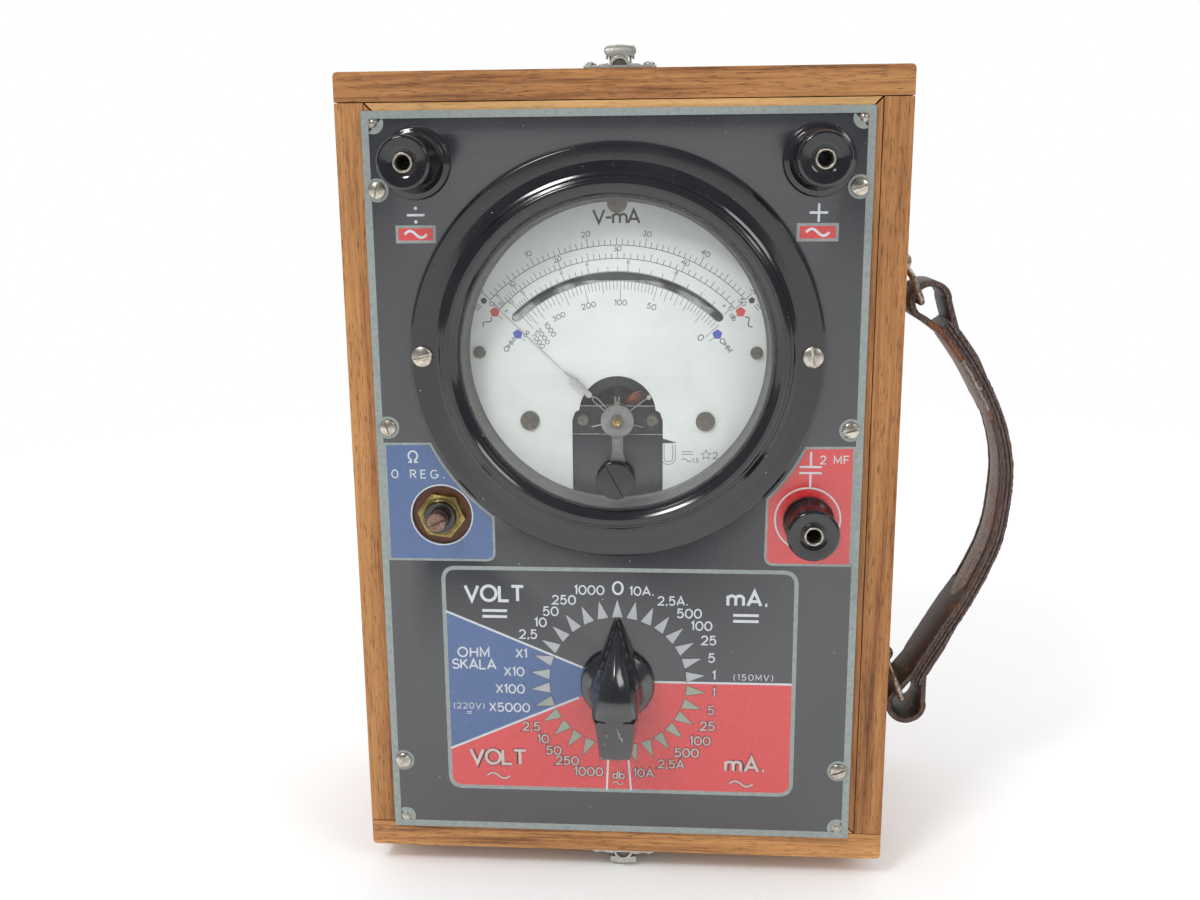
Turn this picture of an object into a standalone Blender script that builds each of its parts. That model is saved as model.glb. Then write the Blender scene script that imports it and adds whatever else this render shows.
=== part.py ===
"""Analog multimeter in a wooden carrying case: meter, range switch, sockets, catches and a strap handle.

Metres, +Z up. The panel faces -Y, the handle hangs on +X, and the case stands upright.
"""

import math

import bmesh
import bpy
from mathutils import Matrix, Vector

# Clearances
fit = 0.0003
running_gap = 0.0002
overrun = 0.002
weld_gap = 0.000001
axis_weld_gap = 0.00001

# Panel layout, from the meter out to the edges of the plate
bezel_radius = 0.0627
panel_side_margin = 0.0123
meter_top_margin = 0.0095
label_gap = 0.00465
label_height = 0.0772
label_bottom_margin = 0.01435
plate_thickness = 0.0008
plate_width = 2 * (bezel_radius + panel_side_margin)
plate_height = meter_top_margin + 2 * bezel_radius + label_gap + label_height + label_bottom_margin
meter_height = plate_height / 2 - meter_top_margin - bezel_radius
switch_height = label_height / 2 + label_bottom_margin - plate_height / 2

# Case, from the plate, which laps the left and bottom boards and leaves a strip of lining at the others
board_thickness = 0.0086
back_thickness = 0.006
corner_round = 0.0013
edge_round = 0.0004
lining_width = 0.0085
lining_depth = 0.014
left_lap = 0.00045
right_strip = 0.00225
bottom_lap = 0.00091
top_strip = 0.00261
housing_depth = 0.046
wiring_space = 0.038
case_width = plate_width - left_lap + right_strip + 2 * board_thickness
case_height = plate_height - bottom_lap + top_strip + 2 * board_thickness
case_depth = housing_depth + wiring_space + back_thickness
plate_shift_left = (left_lap + right_strip) / 2
plate_shift_down = (bottom_lap + top_strip) / 2

# Panel
base_thickness = 0.0032
screw_head_radius = 0.00265
screw_head_height = 0.0012
screw_shank_radius = 0.0012
screw_length = 0.009
screw_slot_width = 0.0007
screw_slot_depth = 0.0006
screw_edge_inset = 0.0039
screw_top_inset = 0.02285
screw_middle_drop = 0.02275
screw_bottom_inset = 0.02385
screw_across = plate_width / 2 - screw_edge_inset
screw_rows = (
    plate_height / 2 - screw_top_inset, meter_height - screw_middle_drop,
    screw_bottom_inset - plate_height / 2,
)

# Meter
bezel_flange_height = 0.0034
bezel_rim_radius = 0.0526
bezel_rim_height = 0.0066
bezel_rim_crown = 0.0502
glass_radius = 0.0498
glass_thickness = 0.002
glass_lift = 0.0024
sight_radius = 0.0476
housing_wall = 0.003
housing_floor = 0.0035
housing_hole_gap = 0.0004
bezel_screw_inset = 0.004
bezel_screw_across = bezel_radius - bezel_screw_inset
bezel_screw_radius = 0.00325
dial_radius = 0.0462
dial_thickness = 0.0008
dial_drop = 0.0085
pivot_drop = 0.0213
window_half_width = 0.0138
mirror_inner = 0.0434
mirror_outer = 0.0460
mirror_thickness = 0.0003
mirror_half_angle = math.radians(44)
dial_screw_across = 0.0273
dial_screw_radius = 0.003
dial_screw_height = 0.0009
small_screw_across = 0.0426
small_screw_radius = 0.0019
small_screw_height = 0.0007
small_screw_rise = 0.0001

# Movement
magnet_outer = 0.030
magnet_inner = 0.0160
magnet_thickness = 0.012
magnet_foot = 0.011
pole_half_width = 0.0158
pole_half_height = 0.0125
pole_length = 0.012
pole_bore = 0.0098
pole_drop = 0.0062
core_radius = 0.0072
core_web = 0.0026
coil_half_width = 0.0089
coil_half_height = 0.0019
coil_wall = 0.0009
coil_end_gap = 0.0006
staff_radius = 0.0008
bridge_height = 0.0092
bridge_thickness = 0.0012
bridge_half_length = 0.0215
bridge_drop = 0.0006
bridge_screw_across = 0.0115
bridge_screw_radius = 0.0019
bridge_screw_height = 0.0008
bridge_leg = 0.003
jewel_radius = 0.0016
pointer_tip = 0.0510
pointer_width = 0.0005
pointer_thickness = 0.0004
pointer_hub = 0.0030
pointer_crank = 0.0115
pointer_paddle_length = 0.0042
pointer_paddle_width = 0.0020
pointer_counter = 0.0100
pointer_lift = 0.0013
pointer_zero = math.radians(46)
counter_angle = math.radians(94)
spring_turns = 4
spring_outer = 0.0052
spring_inner = 0.0019
spring_wire = 0.00016
spring_points = 15
lever_disc = 0.0052
lever_width = 0.0034
lever_thickness = 0.0007
lever_fork_gap = 0.0015
lever_fork_width = 0.0046
zero_drop = 0.0163
zero_screw_radius = 0.0060
zero_screw_height = 0.0018
zero_shank_radius = 0.0026
zero_pin_radius = 0.0006
zero_pin_throw = 0.0016
zero_slot_width = 0.0012
zero_slot_depth = 0.0012

# Range switch
switch_positions = 30
skirt_radius = 0.0118
skirt_height = 0.0072
skirt_top_radius = 0.0108
knob_tip = 0.0218
knob_tip_height = 0.0035
knob_tail = 0.0205
knob_height = 0.0200
knob_tail_height = 0.0140
knob_half_width = 0.0064
knob_tail_half_width = 0.0046
knob_round = 0.0009
shaft_radius = 0.003
shaft_bite = 0.012
bushing_radius = 0.0048
bushing_length = 0.0076
wafer_radius = 0.0255
wafer_thickness = 0.002
wafer_drop = 0.0150
wafer_post_radius = 0.0025
stud_radius = 0.0011
stud_height = 0.0015
stud_ring = 0.0195
wiper_width = 0.004
wiper_thickness = 0.001
wiper_hub = 0.005
wiper_reach = 0.0205

# Ohm adjuster
adjuster_edge_inset = 0.0198
adjuster_drop = 0.05075
adjuster_across = plate_width / 2 - adjuster_edge_inset
adjuster_height = meter_height - adjuster_drop
adjuster_hole = 0.0095
pot_radius = 0.0098
pot_length = 0.012
pot_bushing_radius = 0.0048
pot_bushing_reach = 0.0052
nut_across_flats = 0.0135
nut_thickness = 0.0026
pot_shaft_radius = 0.003
pot_shaft_reach = 0.0095
pot_shaft_slot_width = 0.001
pot_shaft_slot_depth = 0.0015

# Sockets
socket_edge_inset = 0.0158
socket_top_inset = 0.01515
socket_low_drop = 0.05135
socket_across = plate_width / 2 - socket_edge_inset
socket_row = plate_height / 2 - socket_top_inset
socket_low_row = meter_height - socket_low_drop
socket_height = 0.0168
socket_base_radius = 0.0107
socket_base_height = 0.0018
socket_waist_radius = 0.0072
socket_face_radius = 0.0078
socket_shank_radius = 0.0042
socket_tail = 0.010
insert_radius = 0.003
insert_bore = 0.002
insert_proud = 0.0004
insert_depth = 0.020
post_base_radius = 0.0079
post_neck_radius = 0.0060

# Inside the case
capacitor_width = 0.030
capacitor_height = 0.045
capacitor_depth = 0.026
capacitor_lug_radius = 0.002
capacitor_lug_height = 0.006
battery_width = 0.062
battery_height = 0.024
battery_depth = 0.022
resistor_card_width = 0.110
resistor_card_height = 0.062
resistor_card_thickness = 0.002
resistor_post = 0.006
bobbin_radius = 0.0055
bobbin_length = 0.016
bobbin_count = 6
bobbin_pitch = 0.016
rectifier_radius = 0.008
rectifier_length = 0.018
card_height = 0.052

# Catches
catch_setback = 0.0052
catch_width = 0.0213
catch_depth = 0.0090
catch_sheet = 0.0008
rib_half_width = 0.0030
rib_height = 0.0039
rib_depth = 0.0018
ear_thickness = 0.0007
ear_radius = 0.0022
catch_pin_height = 0.0052
catch_pin_radius = 0.0007
hook_width = 0.0072
hook_radius = 0.0024
hook_tail = 0.0115
hook_sheet = 0.0009
catch_screw_across = 0.0086
catch_screw_radius = 0.0019
catch_screw_height = 0.0012

# Handle
handle_drop = 0.0023
handle_half_span = 0.0688
eye_reach = 0.0093
eye_wire = 0.0018
eye_spread = 0.0060
eye_depth = 0.006
ring_wire = 0.0022
ring_length = 0.0134
ring_shoulder = 0.0050
ring_lean = math.radians(22)
ring_play = 0.0004
ring_narrow = 0.0100
strap_width = 0.0200
strap_thickness = 0.0036
strap_loop_hole = 0.0048
strap_loop_wall = 0.0022
strap_side_gap = 0.0012
loop_shift_top = (0.0033, 0.0)
loop_shift_bottom = (0.0018, -0.0028)
strap_bulge = 0.0422
strap_route_shares = (
    (0.509, 0.86), (0.706, 0.69), (0.890, 0.475), (0.994, 0.247), (0.996, 0.033),
    (0.938, -0.18), (0.764, -0.437), (0.569, -0.65), (0.400, -0.84),
)


def clear_scene():
    for obj in list(bpy.data.objects):
        bpy.data.objects.remove(obj, do_unlink=True)


clear_scene()
parts = bpy.data.collections.new("analog_multimeter")
cutters = bpy.data.collections.new("cutters")
cutters.hide_render = True
bpy.context.scene.collection.children.link(parts)
bpy.context.scene.collection.children.link(cutters)


def make_material(name, colour, roughness, metallic=0.0, alpha=1.0):
    material = bpy.data.materials.new(name)
    material.use_nodes = True
    shader = material.node_tree.nodes["Principled BSDF"]
    shader.inputs["Base Color"].default_value = (*colour, 1.0)
    shader.inputs["Roughness"].default_value = roughness
    shader.inputs["Metallic"].default_value = metallic
    shader.inputs["Alpha"].default_value = alpha
    return material


walnut = make_material("walnut", (0.27, 0.13, 0.05), 0.5)
raw_wood = make_material("raw_wood", (0.50, 0.29, 0.12), 0.7)
plywood = make_material("plywood", (0.38, 0.24, 0.12), 0.7)
pertinax = make_material("pertinax", (0.16, 0.07, 0.03), 0.5)
black_enamel = make_material("black_enamel", (0.03, 0.03, 0.035), 0.35)
bakelite = make_material("bakelite", (0.012, 0.012, 0.013), 0.15)
nickel = make_material("nickel", (0.62, 0.60, 0.55), 0.3, 1.0)
brass = make_material("brass", (0.60, 0.44, 0.20), 0.4, 1.0)
steel = make_material("steel", (0.50, 0.50, 0.50), 0.4, 1.0)
magnet_steel = make_material("magnet_steel", (0.10, 0.10, 0.11), 0.5, 0.6)
copper = make_material("copper", (0.55, 0.23, 0.12), 0.4, 1.0)
dial_white = make_material("dial_white", (0.75, 0.80, 0.77), 0.4)
mirror_silver = make_material("mirror_silver", (0.85, 0.85, 0.85), 0.03, 1.0)
glass = make_material("glass", (0.95, 0.97, 0.97), 0.02, 0.0, 0.2)
leather = make_material("leather", (0.07, 0.03, 0.02), 0.6)
card = make_material("card", (0.35, 0.28, 0.18), 0.8)


def frame_at(name, parent, at, turn=(0, 0, 0)):
    """An empty that carries other pieces."""
    empty = bpy.data.objects.new(name, None)
    parts.objects.link(empty)
    empty.parent = parent
    empty.location = at
    empty.rotation_euler = turn
    return empty


def place(name, mesh, parent, at, material, turn=(0, 0, 0), smooth_from=30):
    obj = bpy.data.objects.new(name, mesh)
    collection = parts if material else cutters
    collection.objects.link(obj)
    obj.parent = parent
    obj.location = at
    obj.rotation_euler = turn
    mesh.shade_smooth()
    mesh.set_sharp_from_angle(angle=math.radians(smooth_from))
    if material:
        mesh.materials.append(material)
    else:
        obj.hide_render = True
        obj.display_type = "WIRE"
    return obj


def baked(obj):
    """The evaluated shape of a helper object as a mesh of its own, with its loose caps welded."""
    bpy.context.scene.collection.objects.link(obj)
    bpy.context.view_layer.update()
    mesh = bpy.data.meshes.new_from_object(obj.evaluated_get(bpy.context.evaluated_depsgraph_get()))
    bpy.data.objects.remove(obj)
    shape = bmesh.new()
    shape.from_mesh(mesh)
    bmesh.ops.remove_doubles(shape, verts=shape.verts, dist=weld_gap)
    bmesh.ops.recalc_face_normals(shape, faces=shape.faces)
    shape.to_mesh(mesh)
    shape.free()
    mesh.materials.clear()
    return mesh


def turned(profile, steps=48):
    """A turned shape about Z. The profile runs down its outer side."""
    mesh = bpy.data.meshes.new("turned")
    pairs = [(i, (i + 1) % len(profile)) for i in range(len(profile))]
    edges = [(i, j) for i, j in pairs if profile[i][0] or profile[j][0]]
    mesh.from_pydata([(r, 0, h) for r, h in profile], edges, [])
    obj = bpy.data.objects.new("turned", mesh)
    screw = obj.modifiers.new("screw", "SCREW")
    screw.steps = screw.render_steps = steps
    screw.use_merge_vertices = True
    screw.merge_threshold = axis_weld_gap
    return baked(obj)


def flat(outer, thickness, holes=()):
    """A flat outline in XY with holes, from Z = 0 back to -thickness."""
    curve = bpy.data.curves.new("outline", "CURVE")
    curve.dimensions = "2D"
    curve.fill_mode = "BOTH"
    curve.extrude = thickness / 2
    for loop in (outer, *holes):
        spline = curve.splines.new("POLY")
        spline.points.add(len(loop) - 1)
        for point, (x, y) in zip(spline.points, loop):
            point.co = (x, y, 0, 1)
        spline.use_cyclic_u = True
    mesh = baked(bpy.data.objects.new("outline", curve))
    mesh.transform(Matrix.Translation((0, 0, -thickness / 2)))
    return mesh


def tube(points, radius, cyclic=False, sides=2):
    """A wire along points, with filled caps."""
    curve = bpy.data.curves.new("wire", "CURVE")
    curve.dimensions = "3D"
    curve.bevel_depth = radius
    curve.bevel_resolution = sides
    curve.use_fill_caps = True
    spline = curve.splines.new("POLY")
    spline.points.add(len(points) - 1)
    for point, place_at in zip(spline.points, points):
        point.co = (*place_at, 1)
    spline.use_cyclic_u = cyclic
    return baked(bpy.data.objects.new("wire", curve))


def block(size, rounded=0.0, round_edges=None, segments=2):
    """A box about the origin. round_edges picks the edges to round from their two end points."""
    shape = bmesh.new()
    bmesh.ops.create_cube(shape, size=1)
    bmesh.ops.scale(shape, vec=size, verts=shape.verts)
    if rounded:
        edges = [e for e in shape.edges if not round_edges or round_edges(*[v.co for v in e.verts])]
        bmesh.ops.bevel(shape, geom=edges, offset=rounded, segments=segments, profile=0.5, affect="EDGES")
    mesh = bpy.data.meshes.new("block")
    shape.to_mesh(mesh)
    shape.free()
    return mesh


def circle(radius, centre=(0, 0), count=32):
    return arc(radius, 0, math.tau * (count - 1) / count, centre, count)


def arc(radius, start, end, centre=(0, 0), count=16):
    angles = [start + (end - start) * i / (count - 1) for i in range(count)]
    return [(centre[0] + radius * math.cos(a), centre[1] + radius * math.sin(a)) for a in angles]


def rectangle(width, height, centre=(0, 0)):
    x, y = width / 2, height / 2
    return [(centre[0] + u, centre[1] + v) for u, v in ((-x, -y), (x, -y), (x, y), (-x, y))]


def change(obj, tool, operation="DIFFERENCE"):
    """Cuts a hidden tool from a piece, or joins it on."""
    boolean = obj.modifiers.new(tool.name, "BOOLEAN")
    boolean.operation = operation
    boolean.object = tool
    boolean.solver = "EXACT"
    return obj


def rod(radius, top, bottom, count=24):
    """A round bar along Z."""
    return turned([(0, top), (radius, top), (radius, bottom), (0, bottom)], count)


root = frame_at("multimeter", None, (0, 0, 0))
inner_width = case_width - 2 * board_thickness
inner_height = case_height - 2 * board_thickness
lining_outer_width = inner_width - 2 * fit
lining_outer_height = inner_height - 2 * fit
base_width = lining_outer_width - 2 * lining_width - 2 * fit
base_height = lining_outer_height - 2 * lining_width - 2 * fit
plate_lift = fit + plate_thickness
panel = frame_at(
    "panel", root, (-plate_shift_left, -plate_lift, -plate_shift_down), (math.radians(90), 0, 0)
)
base_top = -plate_thickness - fit
base_bottom = base_top - base_thickness
panel_screw_places = [(side * screw_across, row) for row in screw_rows for side in (-1, 1)]
hook_top = catch_pin_height + hook_radius
side_face = case_width / 2


def along_y_at_top(a, b):
    return a.y * b.y < 0 and a.z > 0 and b.z > 0


def make_case():
    mid_depth = case_depth / 2
    for name, sign in (("case_top", 1), ("case_bottom", -1)):
        mesh = block((case_width, case_depth, board_thickness), corner_round, along_y_at_top, 3)
        board = place(name, mesh, root, (0, mid_depth, sign * (case_height - board_thickness) / 2), walnut)
        board.rotation_euler = (0, 0 if sign > 0 else math.pi, 0)
    side_height = inner_height - 2 * fit
    for name, sign in (("case_left", -1), ("case_right", 1)):
        mesh = block((board_thickness, case_depth, side_height))
        board = place(name, mesh, root, (sign * (case_width - board_thickness) / 2, mid_depth, 0), walnut)
        if sign > 0:
            cut_eye_holes(board)
    back_width = inner_width - 2 * fit
    mesh = block((back_width, back_thickness, inner_height - 2 * fit))
    place("case_back", mesh, root, (0, case_depth - back_thickness / 2, 0), plywood)


def make_lining():
    """Four strips round the opening, mitred at the corners, that the panel is screwed to."""
    half_w, half_h = lining_outer_width / 2, lining_outer_height / 2
    for name, width, height, turn, at in (
        ("lining_top", half_w, lining_width, 0, (0, half_h)),
        ("lining_bottom", half_w, lining_width, math.pi, (0, -half_h)),
        ("lining_left", half_h, lining_width, math.pi / 2, (-half_w, 0)),
        ("lining_right", half_h, lining_width, -math.pi / 2, (half_w, 0)),
    ):
        miter = fit / 2 * math.tan(math.radians(67.5))
        outline = [
            (-width + miter, 0), (-width + height + miter, -height),
            (width - height - miter, -height), (width - miter, 0),
        ]
        spin = Matrix.Rotation(turn, 2)
        turned_outline = [(*(spin @ Vector(p)),) for p in outline]
        centre = (plate_shift_left + at[0], plate_shift_down + at[1])
        holes = []
        for x, y in panel_screw_places:
            here = (x - centre[0], y - centre[1])
            inside = (spin.transposed() @ Vector(here)).y
            if "left" in name and x < 0 or "right" in name and x > 0:
                if -height < inside < 0:
                    holes.append(circle(screw_shank_radius + fit, here, 12))
        mesh = flat(turned_outline, lining_depth, holes)
        place(name, mesh, panel, (*centre, -plate_lift), raw_wood)


def make_panel():
    shank = screw_shank_radius + fit
    housing_hole = housing_radius() + housing_hole_gap
    holes = [
        circle(housing_hole, (0, meter_height), 64),
        circle(adjuster_hole, (-adjuster_across, adjuster_height)),
        circle(bushing_radius + fit, (0, switch_height), 24),
        circle(socket_shank_radius + fit, (socket_across, socket_low_row), 24),
    ]
    holes += [circle(socket_shank_radius + fit, (s * socket_across, socket_row), 24) for s in (-1, 1)]
    holes += [circle(shank, (s * bezel_screw_across, meter_height), 12) for s in (-1, 1)]
    plate_holes = holes + [circle(shank, at, 12) for at in panel_screw_places]
    mesh = flat(rectangle(plate_width, plate_height), plate_thickness, plate_holes)
    place("face_plate", mesh, panel, (0, 0, 0), black_enamel)
    base_holes = list(holes)
    base_holes[1] = circle(pot_bushing_radius + fit, (-adjuster_across, adjuster_height), 24)
    shift = (plate_shift_left, plate_shift_down)
    mesh = flat(rectangle(base_width, base_height, shift), base_thickness, base_holes)
    place("panel_base", mesh, panel, (0, 0, base_top), pertinax)
    for number, (x, y) in enumerate(panel_screw_places, 1):
        make_screw(f"panel_screw_{number}", (x, y, fit), screw_head_radius, screw_length, 35 * number)


def make_screw(name, at, head_radius, length, slot_turn):
    """A slotted round-head screw, its head on Z = 0."""
    crown = head_radius * 0.75
    profile = [
        (0, screw_head_height), (crown, screw_head_height * 0.8), (head_radius, screw_head_height * 0.3),
        (head_radius, 0), (screw_shank_radius, 0), (screw_shank_radius, -length), (0, -length),
    ]
    screw = place(name, turned(profile, 20), panel, at, nickel, (0, 0, math.radians(slot_turn)))
    slot_mesh = block((2 * head_radius + overrun, screw_slot_width, 2 * screw_slot_depth))
    slot = place(name + "_slot", slot_mesh, screw, (0, 0, screw_head_height), None)
    return change(screw, slot)


def housing_radius():
    return glass_radius


def make_meter():
    """The black moulded bezel, the glass and the housing behind them."""
    centre = (0, meter_height, 0)
    recess = glass_radius + fit
    seat = glass_lift + glass_thickness + fit
    lip = (bezel_rim_height + seat) / 2
    rim_step = (bezel_rim_radius - bezel_rim_crown) / 2
    profile = [
        (sight_radius, bezel_rim_height - rim_step / 2), (sight_radius + rim_step, bezel_rim_height),
        (bezel_rim_crown, bezel_rim_height), (bezel_rim_crown + rim_step, bezel_rim_height - rim_step / 2),
        (bezel_rim_radius, bezel_rim_height - 2 * rim_step),
        (bezel_rim_radius + rim_step, bezel_flange_height),
        (bezel_radius - 2 * rim_step, bezel_flange_height),
        (bezel_radius - rim_step / 2, bezel_flange_height - rim_step / 2),
        (bezel_radius, bezel_flange_height - 3 * rim_step / 2), (bezel_radius, fit),
        (recess, fit), (recess, seat), (sight_radius, seat), (sight_radius, lip),
    ]
    bezel = place("meter_bezel", turned(profile, 80), panel, centre, bakelite)
    for side in (-1, 1):
        hole = place(
            f"bezel_hole_{side}", rod(screw_shank_radius + fit, bezel_flange_height + overrun, -overrun, 16),
            panel, (side * bezel_screw_across, meter_height, 0), None,
        )
        change(bezel, hole)
        name = "meter_screw_left" if side < 0 else "meter_screw_right"
        at = (side * bezel_screw_across, meter_height, bezel_flange_height + fit)
        make_screw(name, at, bezel_screw_radius, screw_length, 35 * side)
    glass_hole = circle(zero_shank_radius + fit, (0, -pivot_drop - zero_drop), 20)
    mesh = flat(circle(glass_radius, count=64), glass_thickness, [glass_hole])
    place("meter_glass", mesh, panel, (0, meter_height, glass_lift + glass_thickness), glass)
    front = glass_lift - fit
    outer = housing_radius()
    inner = outer - housing_wall
    back = -housing_depth
    profile = [
        (inner, front), (outer, front), (outer, back + housing_wall), (outer - housing_wall, back),
        (0, back),
        (0, back + housing_floor), (inner, back + housing_floor),
    ]
    housing = place("meter_housing", turned(profile, 64), panel, centre, bakelite)
    pole_back = dial_face() - dial_thickness - pole_drop - pole_length
    stand_height = pole_back - fit - back - housing_floor / 2
    stand = block((2 * pole_half_width, 2 * pole_half_height, stand_height))
    at = (0, -pivot_drop, pole_back - fit - stand_height / 2)
    change(housing, place("movement_stand", stand, housing, at, None), "UNION")


def dial_face():
    return glass_lift - dial_drop


def make_dial():
    face = dial_face()
    pivot_y = meter_height - pivot_drop
    low = math.asin((window_half_width + fit) / dial_radius)
    rim = arc(dial_radius, -math.pi / 2 + low, 3 * math.pi / 2 - low, (0, pivot_drop), 60)
    window = arc(window_half_width, math.pi, 0, (0, 0), 17)
    outline = [*rim, (-window_half_width, rim[-1][1]), *window, (window_half_width, rim[0][1])]
    mesh = flat(outline, dial_thickness)
    dial = place("dial_plate", mesh, panel, (0, pivot_y, face), dial_white)
    heads = [(s * dial_screw_across, 0, dial_screw_radius, dial_screw_height) for s in (-1, 1)]
    small_y = pivot_drop + small_screw_rise
    heads += [(s * small_screw_across, small_y, small_screw_radius, small_screw_height) for s in (-1, 1)]
    for number, (x, y, radius, height) in enumerate(heads):
        head = place(
            f"dial_screw_{number}", rod(radius, height, -dial_thickness / 2, 20), dial, (x, y, 0), None
        )
        change(dial, head, "UNION")
    band = arc(mirror_outer, math.pi / 2 - mirror_half_angle, math.pi / 2 + mirror_half_angle, (0, 0), 25)
    band += arc(mirror_inner, math.pi / 2 + mirror_half_angle, math.pi / 2 - mirror_half_angle, (0, 0), 25)
    mesh = flat(band, mirror_thickness)
    place("dial_mirror", mesh, panel, (0, pivot_y, face + fit + mirror_thickness), mirror_silver)


def make_movement():
    """Magnet, pole piece, core, coil, bridge, spring, pointer and zero lever, about the pivot."""
    pivot_y = meter_height - pivot_drop
    dial_back = dial_face() - dial_thickness
    pole_front = dial_back - pole_drop
    arch = arc(magnet_outer, 0, math.pi, (0, 0), 25)
    inner = arc(magnet_inner, math.pi, 0, (0, 0), 21)
    foot = -magnet_foot
    outline = [(magnet_outer, foot), *arch, (-magnet_outer, foot), (-magnet_inner, foot)]
    outline += [*inner, (magnet_inner, foot)]
    place("magnet", flat(outline, magnet_thickness), panel, (0, pivot_y, pole_front), magnet_steel)
    pole_outline = [
        (-pole_half_width, -pole_half_height), (pole_half_width, -pole_half_height),
        *arc(pole_half_width, 0, math.pi, (0, 0), 17),
    ]
    mesh = flat(pole_outline, pole_length, [circle(pole_bore, count=40)])
    place("pole_piece", mesh, panel, (0, pivot_y, pole_front), steel)
    web_half = core_web / 2
    web_angle = math.asin(web_half / core_radius)
    tip = pole_bore - fit
    core_outline = []
    for start in (math.pi / 2, 3 * math.pi / 2):
        side = 1 if start < math.pi else -1
        core_outline += [(side * web_half, side * tip), (-side * web_half, side * tip)]
        core_outline += arc(core_radius, start + web_angle, start + math.pi - web_angle, (0, 0), 13)
    core_inset = coil_wall + coil_end_gap
    place("core", flat(core_outline, pole_length - 2 * core_inset), panel,
          (0, pivot_y, pole_front - core_inset), steel)
    make_coil(pivot_y, pole_front)
    make_bridge(pivot_y, dial_back, pole_front)
    make_pointer(pivot_y, dial_back)
    make_zero_lever(pivot_y, dial_back)


def make_coil(pivot_y, pole_front):
    """The moving coil on its staff, turned to the left stop with the pointer."""
    outer = (2 * coil_half_width, 2 * coil_half_height, pole_length)
    coil = place("moving_coil", block(outer), panel, (0, pivot_y, pole_front - pole_length / 2), copper,
                 (0, 0, pointer_zero))
    inner = (
        2 * (coil_half_width - coil_wall), 2 * coil_half_height + overrun, pole_length - 2 * coil_wall,
    )
    change(coil, place("coil_window", block(inner), coil, (0, 0, 0), None))


def make_bridge(pivot_y, dial_back, pole_front):
    top = dial_back - bridge_drop
    leg_length = top - bridge_thickness - pole_front - fit
    mesh = block((2 * bridge_half_length, bridge_height, bridge_thickness))
    bridge = place("bridge", mesh, panel, (0, pivot_y, top - bridge_thickness / 2), brass)
    for side in (-1, 1):
        screw = rod(bridge_screw_radius, bridge_screw_height, -bridge_thickness / 2, 16)
        at = (side * bridge_screw_across, 0, bridge_thickness / 2)
        change(bridge, place(f"bridge_screw_{side}", screw, bridge, at, None), "UNION")
        leg = block((bridge_leg, bridge_height, leg_length + bridge_thickness))
        at = (side * (bridge_half_length - bridge_leg / 2), 0, -leg_length / 2)
        change(bridge, place(f"bridge_leg_{side}", leg, bridge, at, None), "UNION")
    bore = rod(staff_radius + running_gap, overrun, -overrun, 16)
    change(bridge, place("bridge_bore", bore, bridge, (0, 0, 0), None))


def make_pointer(pivot_y, dial_back):
    """Staff, hub, two arms behind the bridge and the needle that steps forward over the dial."""
    arm_level = dial_back - bridge_drop - bridge_thickness - 2 * fit - pointer_thickness
    needle_level = dial_face() + pointer_lift
    start = pointer_crank - 3 * pointer_thickness
    neck = start + pointer_paddle_length
    half, paddle = pointer_width / 2, pointer_paddle_width / 2
    outline = [(-paddle, start), (paddle, start), (paddle, neck), (half, neck + paddle),
               (half / 2, pointer_tip), (-half / 2, pointer_tip), (-half, neck + paddle), (-paddle, neck)]
    at = (0, pivot_y, needle_level + pointer_thickness / 2)
    pointer = place("pointer", flat(outline, pointer_thickness), panel, at, nickel, (0, 0, pointer_zero))
    drop = arm_level - needle_level - pointer_thickness / 2
    crank = block((pointer_width * 2, pointer_thickness * 2, -drop))
    change(pointer, place("crank", crank, pointer, (0, pointer_crank, drop / 2 - half), None), "UNION")
    hub = pointer_hub / 2
    arm = [*arc(hub, math.radians(120), math.radians(420), (0, 0), 20), (pointer_width, 2 * hub),
           (pointer_width, pointer_crank + 2 * pointer_thickness),
           (-pointer_width, pointer_crank + 2 * pointer_thickness), (-pointer_width, 2 * hub)]
    mesh = flat(arm, pointer_thickness)
    change(pointer, place("arm", mesh, pointer, (0, 0, drop + pointer_thickness / 2), None), "UNION")
    counter = block((pointer_width * 2, pointer_counter, pointer_thickness / 2))
    reach = pointer_counter / 2
    at = (reach * math.sin(counter_angle), reach * math.cos(counter_angle), drop)
    change(pointer, place("counter", counter, pointer, at, None, (0, 0, -counter_angle)), "UNION")
    staff_length = arm_level - (dial_back - pole_drop + fit)
    staff = rod(staff_radius, drop + staff_radius, drop - staff_length, 12)
    change(pointer, place("staff", staff, pointer, (0, 0, 0), None), "UNION")


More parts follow.
